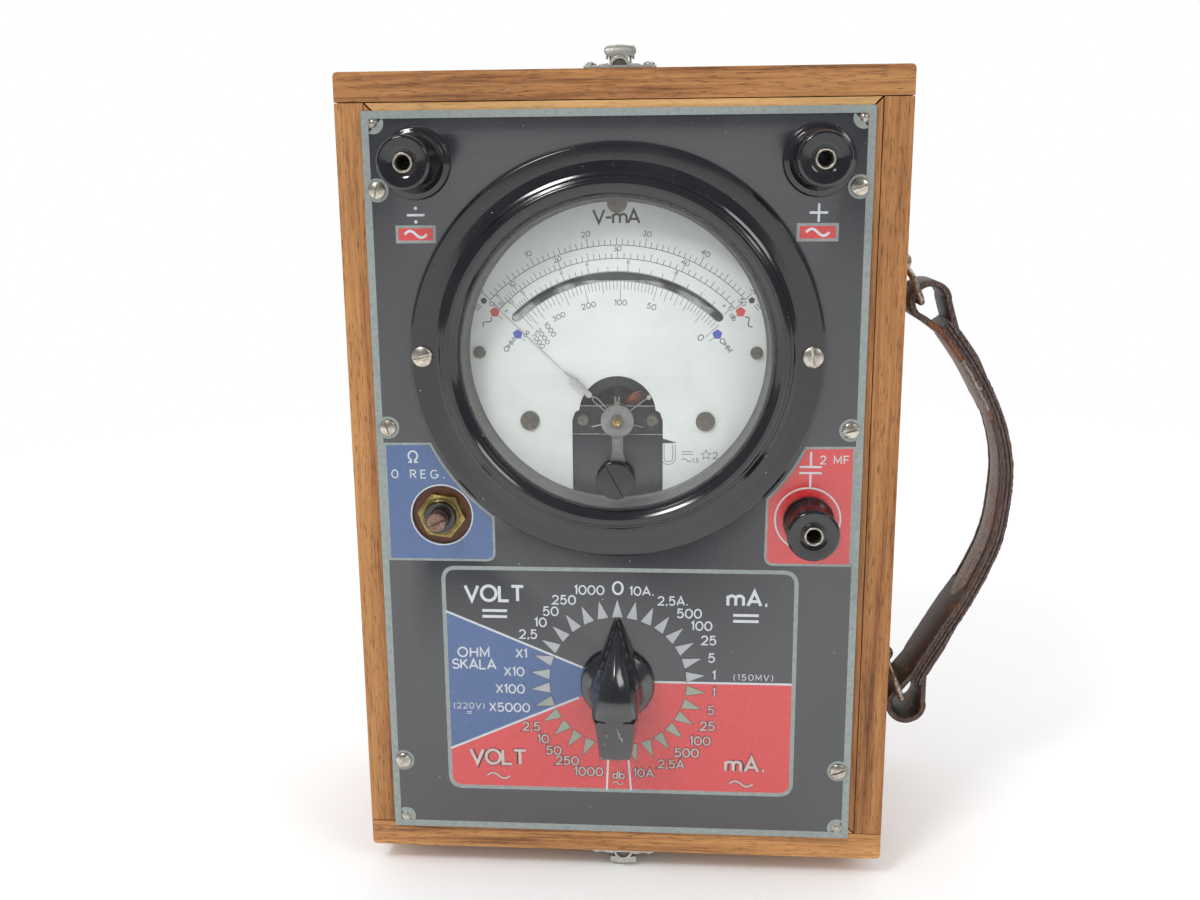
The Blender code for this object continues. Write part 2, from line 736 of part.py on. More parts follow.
def make_zero_lever(pivot_y, dial_back):
    """Disc over the pivot with an arm down to a fork round the eccentric pin, and the hairspring."""
    level = dial_back - bridge_drop + 2 * fit + lever_thickness + bridge_screw_height
    fork_y = -zero_drop + zero_pin_throw
    fork_half = lever_fork_width / 2
    gap_half = lever_fork_gap / 2
    neck = math.asin(lever_width / 2 / lever_disc)
    disc = arc(lever_disc, -math.pi / 2 + neck, 3 * math.pi / 2 - neck, (0, 0), 28)
    outline = [
        *disc, (-lever_width / 2, fork_y + fork_half * 2), (-fork_half, fork_y + fork_half),
        (-fork_half, fork_y - gap_half), (-gap_half, fork_y - gap_half), (-gap_half, fork_y + fork_half / 2),
        (gap_half, fork_y + fork_half / 2), (gap_half, fork_y - gap_half), (fork_half, fork_y - gap_half),
        (fork_half, fork_y + fork_half), (lever_width / 2, fork_y + fork_half * 2),
    ]
    mesh = flat(outline, lever_thickness)
    lever = place("zero_lever", mesh, panel, (0, pivot_y, level), steel)
    jewel = rod(jewel_radius, lever_thickness, -lever_thickness / 2, 16)
    change(lever, place("jewel", jewel, lever, (0, 0, 0), None), "UNION")
    head_top = glass_lift + glass_thickness + fit + zero_screw_height
    pin_tip = level - lever_thickness
    profile = [
        (0, head_top), (zero_screw_radius - zero_slot_width / 2, head_top),
        (zero_screw_radius, head_top - zero_slot_width / 2),
        (zero_screw_radius, head_top - zero_screw_height), (zero_shank_radius, head_top - zero_screw_height),
        (zero_shank_radius, glass_lift - fit), (0, glass_lift - fit),
    ]
    screw = place("zero_screw", turned(profile, 32), panel, (0, pivot_y - zero_drop, 0), bakelite)
    slot = block((2 * zero_screw_radius + overrun, zero_slot_width, 2 * zero_slot_depth))
    change(screw, place("zero_slot", slot, screw, (0, 0, head_top), None, (0, 0, math.radians(115))))
    pin = rod(zero_pin_radius, glass_lift, pin_tip, 12)
    change(screw, place("zero_pin", pin, screw, (0, zero_pin_throw, 0), None), "UNION")
    turns = spring_turns * math.tau
    count = spring_turns * spring_points
    spiral = []
    for i in range(count + 1):
        radius = spring_inner + (spring_outer - spring_inner) * i / count
        angle = turns * i / count
        spiral.append((radius * math.cos(angle), radius * math.sin(angle), 0))
    level = dial_back - bridge_drop - bridge_thickness - pole_drop / 2
    place("hairspring", tube(spiral, spring_wire, sides=0), panel, (0, pivot_y, level), brass)


def make_switch():
    """Pointer knob on its shaft, with the contact wafer and the wiper behind the panel."""
    centre = (0, switch_height, 0)
    knob_gap = 2 * fit
    profile = [
        (0, skirt_height), (skirt_top_radius, skirt_height), (skirt_radius, skirt_height / 2),
        (skirt_radius, knob_gap), (0, knob_gap),
    ]
    knob = place("range_knob", turned(profile, 48), panel, centre, bakelite)
    pointer = place("knob_pointer", knob_bar(knob_gap), knob, (0, 0, 0), None)
    change(knob, pointer, "UNION")
    bore_top = knob_gap + shaft_bite
    bore = rod(shaft_radius + fit, bore_top, -overrun, 24)
    change(knob, place("knob_bore", bore, knob, (0, 0, 0), None))
    shaft_end = base_bottom - wafer_drop - wafer_thickness - wiper_thickness - overrun
    place("switch_shaft", rod(shaft_radius, bore_top - fit, shaft_end), panel, centre, steel)
    bushing_bottom = base_bottom - bushing_length
    profile = [
        (bushing_radius, -fit), (bushing_radius, base_bottom - fit),
        (bushing_radius * 1.6, base_bottom - fit),
        (bushing_radius * 1.6, bushing_bottom), (shaft_radius + running_gap, bushing_bottom),
        (shaft_radius + running_gap, -fit),
    ]
    place("switch_bushing", turned(profile, 32), panel, centre, brass)
    make_wafer(centre)


def knob_bar(bottom):
    """The wedge of the pointer knob: a keel that rises from the tip, and a flat tail that slopes down."""
    shape = bmesh.new()
    rings = []
    tail_width = knob_tail_half_width
    for y, half_width, top in (
        (knob_tip, knob_round, knob_tip_height),
        (knob_tip / 2, knob_half_width * 0.55, (knob_height + knob_tip_height) * 0.56),
        (0, knob_half_width, knob_height),
        (-knob_tail, tail_width, knob_tail_height),
    ):
        crest = half_width * (0.35 if y > 0 else 0.92)
        ring = [(-half_width, bottom), (half_width, bottom), (half_width, top * 0.45), (crest, top),
                (-crest, top), (-half_width, top * 0.45)]
        rings.append([shape.verts.new((x, y, z)) for x, z in ring])
    for first, second in zip(rings, rings[1:]):
        for i in range(len(first)):
            j = (i + 1) % len(first)
            shape.faces.new((first[i], first[j], second[j], second[i]))
    shape.faces.new(reversed(rings[0]))
    shape.faces.new(rings[-1])
    bmesh.ops.recalc_face_normals(shape, faces=shape.faces)
    bmesh.ops.bevel(shape, geom=[e for e in shape.edges if max(v.co.z for v in e.verts) > bottom + fit],
                    offset=knob_round / 2, segments=2, profile=0.5, affect="EDGES")
    mesh = bpy.data.meshes.new("knob_bar")
    shape.to_mesh(mesh)
    shape.free()
    return mesh


def make_wafer(centre):
    top = base_bottom - wafer_drop
    post_hole = [circle(shaft_radius + running_gap * 2, count=24)]
    wafer = place("switch_wafer", flat(circle(wafer_radius, count=48), wafer_thickness, post_hole), panel,
                  (centre[0], centre[1], top), pertinax)
    for number in range(switch_positions):
        angle = math.tau * number / switch_positions
        stud = rod(stud_radius, stud_height, -wafer_thickness / 2, 8)
        at = (stud_ring * math.cos(angle), stud_ring * math.sin(angle), 0)
        change(wafer, place(f"stud_{number}", stud, wafer, at, None), "UNION")
    for side in (-1, 1):
        post = rod(wafer_post_radius, wafer_drop - fit, -wafer_thickness / 2, 12)
        at = (side * (wafer_radius - wafer_post_radius), 0, 0)
        change(wafer, place(f"post_{side}", post, wafer, at, None), "UNION")
    arm = [(-wiper_width / 2, 0), (wiper_width / 2, 0), (wiper_width / 2, wiper_reach),
           (-wiper_width / 2, wiper_reach)]
    hub = [(shaft_radius + fit, wiper_hub), (wiper_hub, wiper_hub), (wiper_hub, 0), (shaft_radius + fit, 0)]
    level = top + stud_height + fit
    rotor = place("switch_rotor", turned(hub, 24), panel, (centre[0], centre[1], level), brass)
    blade = place("wiper_blade", flat(arm, wiper_thickness), rotor, (0, 0, wiper_thickness), None)
    change(rotor, blade, "UNION")
    bore = rod(shaft_radius + fit, wiper_hub + overrun, -overrun, 24)
    change(rotor, place("wiper_bore", bore, rotor, (0, 0, 0), None))


def make_adjuster():
    centre = (-adjuster_across, adjuster_height)
    top = base_bottom - fit
    bushing_top = base_top + pot_bushing_reach
    bore = pot_shaft_radius + running_gap
    profile = [
        (bore, bushing_top), (pot_bushing_radius, bushing_top), (pot_bushing_radius, top), (pot_radius, top),
        (pot_radius, top - pot_length), (bore, top - pot_length),
    ]
    place("ohm_pot_body", turned(profile, 36), panel, (*centre, 0), bakelite)
    hexagon = circle(nut_across_flats / math.sqrt(3), count=6)
    mesh = flat(hexagon, nut_thickness, [circle(pot_bushing_radius + fit, count=24)])
    nut = place("ohm_pot_nut", mesh, panel, (*centre, base_top + fit + nut_thickness), brass)
    nut.rotation_euler = (0, 0, math.radians(12))
    shaft_mesh = rod(pot_shaft_radius, pot_shaft_reach, top - pot_length - overrun)
    shaft = place("ohm_pot_shaft", shaft_mesh, panel, (*centre, 0), copper)
    slot = block((2 * pot_shaft_radius + overrun, pot_shaft_slot_width, 2 * pot_shaft_slot_depth))
    slot_tool = place("pot_slot", slot, shaft, (0, 0, pot_shaft_reach), None, (0, 0, math.radians(60)))
    change(shaft, slot_tool)


def make_sockets():
    tail = base_bottom - socket_tail
    bore = insert_radius + fit
    rim = (socket_face_radius - socket_waist_radius)
    for name, at in (
        ("minus", (-socket_across, socket_row)), ("plus", (socket_across, socket_row)),
        ("capacitor", (socket_across, socket_low_row)),
    ):
        low = name == "capacitor"
        base = post_base_radius if low else socket_base_radius
        waist = post_neck_radius if low else socket_waist_radius
        face = post_base_radius if low else socket_face_radius
        flare = socket_height * (0.40 if low else 0.15)
        profile = [
            (bore, socket_height), (face - rim, socket_height), (face, socket_height - rim),
            (face, socket_height - 2 * rim - flare), (waist, socket_height - 3 * rim - flare * 1.6),
            (waist, socket_base_height * 1.6), (base, socket_base_height), (base, fit),
            (socket_shank_radius, fit), (socket_shank_radius, tail), (bore, tail),
        ]
        place(f"socket_{name}", turned(profile, 40), panel, (*at, 0), bakelite)
        top = socket_height + insert_proud
        profile = [(insert_bore, top), (insert_radius, top), (insert_radius, top - insert_depth),
                   (insert_bore, top - insert_depth)]
        place(f"socket_{name}_insert", turned(profile, 28), panel, (*at, 0), nickel)


def make_inside():
    """What the circuit needs behind the panel, seated on the back board and the bottom board."""
    back = case_depth - back_thickness
    floor = -inner_height / 2 + fit
    x = side_face - board_thickness - fit - capacitor_width / 2 - lining_width
    mesh = block((capacitor_width, capacitor_depth, capacitor_height), edge_round)
    at = (x, back - fit - capacitor_depth / 2, floor + capacitor_height / 2)
    can = place("capacitor", mesh, root, at, magnet_steel)
    for side in (-1, 1):
        lug = rod(capacitor_lug_radius, capacitor_lug_height, -edge_round * 2, 12)
        at = (side * capacitor_width / 4, 0, capacitor_height / 2)
        change(can, place(f"capacitor_lug_{side}", lug, can, at, None), "UNION")
    mesh = block((battery_width, battery_depth, battery_height), edge_round)
    side = (battery_width - capacitor_width) / 2
    at = (side - x, back - fit - battery_depth / 2, floor + battery_height / 2)
    place("battery", mesh, root, at, card)
    card_y = back - fit - resistor_post - resistor_card_thickness / 2
    mesh = block((resistor_card_width, resistor_card_thickness, resistor_card_height))
    board = place("resistor_card", mesh, root, (0, card_y, card_height), pertinax)
    down = (math.radians(90), 0, 0)
    for side in (-1, 1):
        post = rod(wafer_post_radius, 0, -resistor_post - resistor_card_thickness / 2, 12)
        at = (side * (resistor_card_width / 2 - 2 * wafer_post_radius), 0, 0)
        change(board, place(f"card_post_{side}", post, board, at, None, down), "UNION")
    for number in range(bobbin_count):
        bobbin = rod(bobbin_radius, bobbin_length, -resistor_card_thickness / 4, 16)
        at = ((number - (bobbin_count - 1) / 2) * bobbin_pitch, -resistor_card_thickness / 2,
              resistor_card_height / 4)
        change(board, place(f"bobbin_{number}", bobbin, board, at, None, down), "UNION")
    seat = card_y - resistor_card_thickness / 2 - fit
    at = (0, seat, card_height - resistor_card_height / 4)
    place("rectifier", rod(rectifier_radius, rectifier_length, 0, 24), root, at, brass, down)


def make_catches():
    top = case_height / 2
    for name, sign in (("top", 1), ("bottom", -1)):
        at = (0, catch_setback, sign * top)
        frame = frame_at(f"{name}_catch_frame", root, at, (0, 0 if sign > 0 else math.pi, 0))
        make_catch(name, frame)


def make_catch(name, frame):
    """A spring catch: base plate with an arched rib and two ears, and a hook lever on a pin."""
    sheet_mid = fit + catch_sheet / 2
    mesh = block((catch_width, catch_depth, catch_sheet), edge_round / 2)
    base = place(f"{name}_catch_base", mesh, frame, (0, 0, sheet_mid), nickel)
    sideways = (math.radians(90), 0, math.radians(90))
    stretch = (rib_height - catch_sheet / 2) / rib_half_width
    rib = arc(rib_half_width, 0, math.pi, (0, 0), 13)
    rib += arc(rib_half_width - catch_sheet, math.pi, 0, (0, 0), 13)
    mesh = flat([(x, y * stretch) for x, y in rib], rib_depth)
    rib_at = (0, -catch_depth / 2, 0)
    change(base, place(f"{name}_rib", mesh, base, rib_at, None, (math.radians(90), 0, 0)), "UNION")
    ear_top = arc(ear_radius, 0, math.pi, (0, catch_pin_height - sheet_mid), 11)
    ear = [*ear_top, (-ear_radius, 0), (ear_radius, 0)]
    pin_hole = circle(catch_pin_radius + running_gap, (0, catch_pin_height - sheet_mid), 12)
    ear_inner = hook_width / 2 + fit
    for side in (-1, 1):
        x = ear_inner + ear_thickness if side > 0 else -ear_inner
        mesh = flat(ear, ear_thickness, [pin_hole])
        tool = place(f"{name}_ear_{side}", mesh, base, (x, 0, 0), None, sideways)
        change(base, tool, "UNION")
        screw = rod(catch_screw_radius, catch_sheet / 2 + catch_screw_height, 0, 16)
        at = (side * catch_screw_across, 0, 0)
        change(base, place(f"{name}_catch_screw_{side}", screw, base, at, None), "UNION")
    tail_drop = hook_radius / 2
    outline = [
        *arc(hook_radius, math.pi / 2, 2 * math.pi, (0, 0), 19),
        (hook_radius, hook_radius - hook_sheet - tail_drop / 2),
        (hook_tail, hook_radius - hook_sheet - tail_drop), (hook_tail, hook_radius - tail_drop),
        (hook_tail / 2, hook_radius),
    ]
    at = (0, 0, catch_pin_height)
    mesh = flat(outline, hook_width)
    mesh.transform(Matrix.Translation((0, 0, hook_width / 2)))
    mesh.transform(Matrix.Rotation(math.radians(90), 4, "Z") @ Matrix.Rotation(math.radians(90), 4, "X"))
    hook = place(f"{name}_catch_hook", mesh, frame, at, nickel)
    pin_half = ear_inner + ear_thickness + fit
    pin = place(f"{name}_catch_pin", rod(catch_pin_radius, pin_half, -pin_half, 12), hook, (0, 0, 0), None,
                (0, math.radians(90), 0))
    change(hook, pin, "UNION")


def eye_places():
    return [(sign, sign * handle_half_span - handle_drop) for sign in (1, -1)]


def hinge_reach():
    return eye_reach - eye_wire - ring_wire / 2 - ring_play


def cut_eye_holes(board):
    """Holes in the right side for the legs of the two handle eyes."""
    leg_side = (eye_spread - eye_wire) / 2
    for sign, height in eye_places():
        for leg in (-1, 1):
            hole = rod(eye_wire / 2 + fit, overrun, -eye_depth - fit, 16)
            at = (board_thickness / 2, 0, height + leg * leg_side)
            name = f"eye_hole_{sign}_{leg}"
            change(board, place(name, hole, board, at, None, (0, math.radians(90), 0)))


def make_handle():
    """Two wire eyes in the side board, a ring in each, and the strap between the rings."""
    mid_depth = case_depth / 2
    leg = (eye_spread - eye_wire) / 2
    outer_bar = strap_width / 2 + strap_side_gap + ring_wire / 2
    inner_bar = ring_narrow / 2
    bends = []
    for sign, height in eye_places():
        name = "top" if sign > 0 else "bottom"
        at = (side_face, mid_depth, height)
        reach = eye_reach - eye_wire / 2
        bow = arc(leg, -math.pi / 2, math.pi / 2, (reach - leg, 0), 9)
        path = [(-eye_depth, 0, -leg), *[(x, 0, z) for x, z in bow], (-eye_depth, 0, leg)]
        place(f"{name}_handle_eye", tube(path, eye_wire / 2), root, at, nickel)
        corner = ring_wire * 0.6
        half_ring = [
            (0, inner_bar - corner, 0), (0, inner_bar, -corner), (0, outer_bar, -ring_shoulder),
            (0, outer_bar, -ring_length + corner), (0, outer_bar - corner, -ring_length),
        ]
        ring = half_ring + [(x, -y, z) for x, y, z in reversed(half_ring)]
        hinge = (side_face + hinge_reach(), mid_depth, height)
        mesh = tube(ring, ring_wire / 2, cyclic=True)
        place(f"{name}_handle_ring", mesh, root, hinge, nickel, (0, -ring_lean, 0))
        bar = (hinge_reach() + ring_length * math.sin(ring_lean), height - ring_length * math.cos(ring_lean))
        bends.append(bar)
    make_strap(bends, mid_depth)


def smooth_route(points, per_span=4):
    """A Catmull-Rom curve through the points."""
    ends = [points[0], *points, points[-1]]
    route = []
    for a, b, c, d in zip(ends, ends[1:], ends[2:], ends[3:]):
        for i in range(per_span):
            t = i / per_span
            weights = (
                -t + 2 * t * t - t ** 3, 2 - 5 * t * t + 3 * t ** 3,
                t + 4 * t * t - 3 * t ** 3, t ** 3 - t * t,
            )
            route.append(tuple(sum(w * p[k] for w, p in zip(weights, (a, b, c, d))) / 2 for k in (0, 1)))
    return [*route, points[-1]]


def make_strap(bars, mid_depth):
    """A leather strap in side outline, with a sewn loop round the bar of each ring."""
    top_bar, bottom_bar = bars
    loops = [
        tuple(b + s for b, s in zip(top_bar, loop_shift_top)),
        tuple(b + s for b, s in zip(bottom_bar, loop_shift_bottom)),
    ]
    middle = (loops[0][1] + loops[1][1]) / 2
    half = (loops[0][1] - loops[1][1]) / 2
    knots = [loops[0], *[(strap_bulge * u, middle + half * v) for u, v in strap_route_shares], loops[1]]
    route = smooth_route(knots)
    wall = strap_thickness / 2
    outer, inner = [], []
    for i, (x, z) in enumerate(route):
        before, after = route[max(i - 1, 0)], route[min(i + 1, len(route) - 1)]
        along = Vector((after[0] - before[0], after[1] - before[1])).normalized()
        outer.append((x - along.y * wall, z + along.x * wall))
        inner.append((x + along.y * wall, z - along.x * wall))
    start = top_bar
    shift = [(x - start[0], z - start[1]) for x, z in [*outer, *reversed(inner)]]
    stand = Matrix.Rotation(math.radians(90), 4, "X")
    mesh = flat(shift, strap_width)
    mesh.transform(stand @ Matrix.Translation((0, 0, strap_width / 2)))
    at = (side_face + start[0], mid_depth, start[1])
    strap = place("handle_strap", mesh, root, at, leather)
    lie = (math.radians(90), 0, 0)
    for name, (x, z) in zip(("top", "bottom"), loops):
        where = (x - start[0], 0, z - start[1])
        ring = rod(strap_loop_hole + strap_loop_wall, strap_width / 2, -strap_width / 2, 28)
        change(strap, place(f"{name}_loop", ring, strap, where, None, lie), "UNION")
    for name, (x, z) in zip(("top", "bottom"), loops):
        where = (x - start[0], 0, z - start[1])
        hole = rod(strap_loop_hole, strap_width / 2 + overrun, -strap_width / 2 - overrun, 28)
        change(strap, place(f"{name}_loop_hole", hole, strap, where, None, lie))


def stand_on_floor():
    """Moves the whole assembly so that the origin is under the middle of its box, on the floor."""
    bpy.context.view_layer.update()
    graph = bpy.context.evaluated_depsgraph_get()
    low, high = Vector((1e9,) * 3), Vector((-1e9,) * 3)
    for obj in parts.objects:
        if obj.type != "MESH":
            continue
        evaluated = obj.evaluated_get(graph)
        for vertex in evaluated.data.vertices:
            point = evaluated.matrix_world @ vertex.co
            low = Vector(map(min, low, point))
            high = Vector(map(max, high, point))
    middle = (low + high) / 2
    root.location = (-middle.x, -middle.y, -low.z)


make_case()
make_lining()
make_panel()
make_meter()
make_dial()
make_movement()
make_switch()
make_adjuster()
make_sockets()
make_inside()
make_catches()
make_handle()
stand_on_floor()
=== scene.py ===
import math

import bmesh
import bpy
from mathutils import Matrix, Vector, noise
from mathutils.geometry import tessellate_polygon


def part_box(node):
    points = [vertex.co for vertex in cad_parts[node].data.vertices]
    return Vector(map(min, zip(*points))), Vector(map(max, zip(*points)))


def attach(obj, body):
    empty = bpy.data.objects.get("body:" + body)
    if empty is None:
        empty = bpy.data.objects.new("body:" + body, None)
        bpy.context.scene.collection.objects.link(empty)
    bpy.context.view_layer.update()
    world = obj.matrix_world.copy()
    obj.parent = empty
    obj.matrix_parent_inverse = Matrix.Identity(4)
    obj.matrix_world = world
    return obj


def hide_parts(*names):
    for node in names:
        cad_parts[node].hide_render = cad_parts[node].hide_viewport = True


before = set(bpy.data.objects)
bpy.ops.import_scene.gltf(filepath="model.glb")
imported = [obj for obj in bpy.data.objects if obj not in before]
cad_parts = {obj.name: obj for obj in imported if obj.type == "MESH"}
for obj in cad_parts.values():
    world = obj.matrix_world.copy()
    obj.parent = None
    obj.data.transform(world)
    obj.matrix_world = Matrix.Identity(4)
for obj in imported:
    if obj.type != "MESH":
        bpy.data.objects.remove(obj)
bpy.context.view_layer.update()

mm = 0.001
panelOrigin = Vector((-0.02346, -0.0356, 0.13084))
panelSpace = Matrix.Translation(panelOrigin) @ Matrix.Rotation(math.radians(90), 4, "X") @ Matrix.Scale(mm, 4)


# Shapes. Lengths are millimetres in the panel's own frame: x right, y up, z out of the panel.

def newShape():
    return {"verts": [], "faces": [], "finish": [], "smooth": []}


def put(shape, part, finish=0, smooth=True, move=None):
    verts, faces = part
    base = len(shape["verts"])
    shape["verts"] += [move @ Vector(v) if move else Vector(v) for v in verts]
    shape["faces"] += [[base + i for i in face] for face in faces]
    shape["finish"] += [finish] * len(faces)
    shape["smooth"] += [smooth] * len(faces)
    return shape


def makePiece(name, shape, materials, body="case", replaces=(), space=panelSpace,
              sharp=35, printed=False, weld=1e-6):
    mesh = bpy.data.meshes.new(name)
    mesh.from_pydata([space @ v for v in shape["verts"]], [], shape["faces"])
    for material in materials:
        mesh.materials.append(material)
    mesh.polygons.foreach_set("material_index", shape["finish"])
    mesh.polygons.foreach_set("use_smooth", shape["smooth"])
    if not printed:
        work = bmesh.new()
        work.from_mesh(mesh)
        bmesh.ops.remove_doubles(work, verts=work.verts, dist=weld)
        bmesh.ops.recalc_face_normals(work, faces=work.faces)
        work.to_mesh(mesh)
        work.free()
        mesh.set_sharp_from_angle(angle=math.radians(sharp))
    piece = bpy.data.objects.new(name, mesh)
    bpy.context.scene.collection.objects.link(piece)
    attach(piece, body)
    if replaces:
        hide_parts(*replaces)
    return piece


def circle(radius, centre=(0, 0), steps=64, start=0.0):
    return [(centre[0] + radius * math.cos(start + math.tau * i / steps),
             centre[1] + radius * math.sin(start + math.tau * i / steps)) for i in range(steps)]


def arc(radius, start, end, centre=(0, 0), steps=24):
    turns = [math.radians(start + (end - start) * i / steps) for i in range(steps + 1)]
    return [(centre[0] + radius * math.cos(t), centre[1] + radius * math.sin(t)) for t in turns]


# A point at an angle clockwise from straight up
def polar(radius, degrees, centre=(0, 0)):
    turn = math.radians(degrees)
    return centre[0] + radius * math.sin(turn), centre[1] + radius * math.cos(turn)


def fillet(points, radius, steps=4, closed=True):
    radii = radius if isinstance(radius, (list, tuple)) else [radius] * len(points)
    out = []
    count = len(points)
    for i, point in enumerate(points):
        if not closed and i in (0, count - 1) or radii[i] <= 0:
            out.append(tuple(point))
            continue
        here, before, after = Vector(point), Vector(points[i - 1]), Vector(points[(i + 1) % count])
        toBefore, toAfter = before - here, after - here
        angle = toBefore.angle(toAfter, math.pi)
        if angle > math.pi - 0.02 or angle < 0.02:
            out.append(tuple(point))
            continue
        cut = min(radii[i] / math.tan(angle / 2), toBefore.length * 0.49, toAfter.length * 0.49)
        start, end = here + toBefore.normalized() * cut, here + toAfter.normalized() * cut
        for k in range(steps + 1):
            t = k / steps
            out.append(tuple(start * (1 - t) ** 2 + here * 2 * t * (1 - t) + end * t * t))
    return out


def inset(points, distance):
    out = []
    count = len(points)
    for i in range(count):
        a, b, c = Vector(points[i - 1]), Vector(points[i]), Vector(points[(i + 1) % count])
        first, second = (b - a), (c - b)
        if first.length < 1e-6 or second.length < 1e-6:
            out.append(tuple(b))
            continue
        first.normalize()
        second.normalize()
        normal = Vector((-first.y - second.y, first.x + second.x))
        if normal.length < 1e-6:
            normal = Vector((-first.y, first.x))
        normal.normalize()
        spread = max(normal.dot(Vector((-first.y, first.x))), 0.35)
        out.append(tuple(b + normal * (distance / spread)))
    return out


def sheet(outline, level, holes=()):
    loops = [[Vector((x, y, 0)) for x, y in loop] for loop in (outline, *holes)]
    verts = [(p.x, p.y, level) for loop in loops for p in loop]
    faces = []
    for a, b, c in tessellate_polygon(loops):
        p, q, r = verts[a], verts[b], verts[c]
        area = (q[0] - p[0]) * (r[1] - p[1]) - (r[0] - p[0]) * (q[1] - p[1])
        if abs(area) > 1e-9:
            faces.append((a, b, c) if area > 0 else (a, c, b))
    return verts, faces


# A plate with rounded upper edges; the outline runs anticlockwise and the holes clockwise
def slab(outline, low, high, holes=(), edge=0.0, steps=3):
    verts, faces = [], []
    levels = [(0.0, low), (0.0, high - edge)]
    if edge > 0:
        for k in range(1, steps + 1):
            turn = math.pi / 2 * k / steps
            levels.append((edge * (1 - math.cos(turn)), high - edge + edge * math.sin(turn)))
    last = []
    for loop in (outline, *holes):
        rings = []
        for shift, level in levels:
            ring = inset(loop, shift) if shift else loop
            rings.append(list(range(len(verts), len(verts) + len(ring))))
            verts += [(x, y, level) for x, y in ring]
        for a, b in zip(rings, rings[1:]):
            for i in range(len(a)):
                j = (i + 1) % len(a)
                faces.append((a[i], a[j], b[j], b[i]))
        last.append([verts[i][:2] for i in rings[-1]])
    for flip, top, level in ((False, last, high), (True, (outline, *holes), low)):
        cover, tris = sheet(top[0], level, top[1:])
        base = len(verts)
        verts += cover
        faces += [tuple(base + i for i in (reversed(t) if flip else t)) for t in tris]
    return verts, faces


def lathe(profile, steps=96, centre=(0, 0)):
    verts, faces, rings = [], [], []
    for radius, level in profile:
        if radius < 1e-6:
            rings.append([len(verts)])
            verts.append((*centre, level))
        else:
            rings.append(list(range(len(verts), len(verts) + steps)))
            verts += [(x, y, level) for x, y in circle(radius, centre, steps)]
    for low, high in zip(rings, rings[1:]):
        for i in range(steps):
            j = (i + 1) % steps
            if len(low) == 1 and len(high) > 1:
                faces.append((low[0], high[j], high[i]))
            elif len(high) == 1 and len(low) > 1:
                faces.append((low[i], low[j], high[0]))
            elif len(low) > 1:
                faces.append((low[i], low[j], high[j], high[i]))
    return verts, faces


def line(points, width, level, closed=False):
    verts, faces = [], []
    count = len(points)
    for i, point in enumerate(points):
        before = Vector(points[i - 1]) if closed or i else Vector(point)
        after = Vector(points[(i + 1) % count]) if closed or i < count - 1 else Vector(point)
        here = Vector(point)
        first = (here - before).normalized() if (here - before).length > 1e-9 else (after - here).normalized()
        second = (after - here).normalized() if (after - here).length > 1e-9 else first
        normal = Vector((-first.y - second.y, first.x + second.x)).normalized()
        reach = width / 2 / max(normal.dot(Vector((-first.y, first.x))), 0.4)
        left, right = here + normal * reach, here - normal * reach
        verts += [(left.x, left.y, level), (right.x, right.y, level)]
    for i in range(count if closed else count - 1):
        a, b = 2 * i, 2 * ((i + 1) % count)
        faces.append((a + 1, b + 1, b, a))
    return verts, faces


# Carries a section (side, up) along a path; the section may be a function of the share along it
def sweep(path, section, up=(0, 0, 1), closed=False, capped=True):
    verts, faces = [], []
    count = len(path)
    path = [Vector(p) for p in path]
    for i, here in enumerate(path):
        before = path[i - 1] if closed or i else here
        after = path[(i + 1) % count] if closed or i < count - 1 else here
        along = (after - before).normalized()
        side = along.cross(Vector(up))
        side = side.normalized() if side.length > 1e-6 else Vector((1, 0, 0))
        rise = side.cross(along).normalized()
        outline = section(i / max(count - 1, 1)) if callable(section) else section
        verts += [here + side * a + rise * b for a, b in outline]
    width = len(verts) // count
    for i in range(count if closed else count - 1):
        for j in range(width):
            k = (j + 1) % width
            n = (i + 1) % count
            faces.append((i * width + j, i * width + k, n * width + k, n * width + j))
    if capped and not closed:
        faces.append(tuple(reversed(range(width))))
        faces.append(tuple((count - 1) * width + j for j in range(width)))
    return verts, faces


def rod(path, radius, closed=False, sides=16, up=(0, 0, 1)):
    return sweep(path, circle(radius, steps=sides), up, closed)


def curveThrough(points, perSpan=8, closed=False):
    points = [Vector(p) for p in points]
    count = len(points)
    out = []
    for i in range(count if closed else count - 1):
        a = points[i - 1] if closed or i else points[0]
        b, c = points[i], points[(i + 1) % count]
        d = points[(i + 2) % count] if closed or i + 2 < count else points[-1]
        for k in range(perSpan):
            t = k / perSpan
            out.append((b * 2 + (c - a) * t + (a * 2 - b * 5 + c * 4 - d) * t * t
                        + (b * 3 - a - c * 3 + d) * t ** 3) / 2)
    return out if closed else [*out, points[-1]]


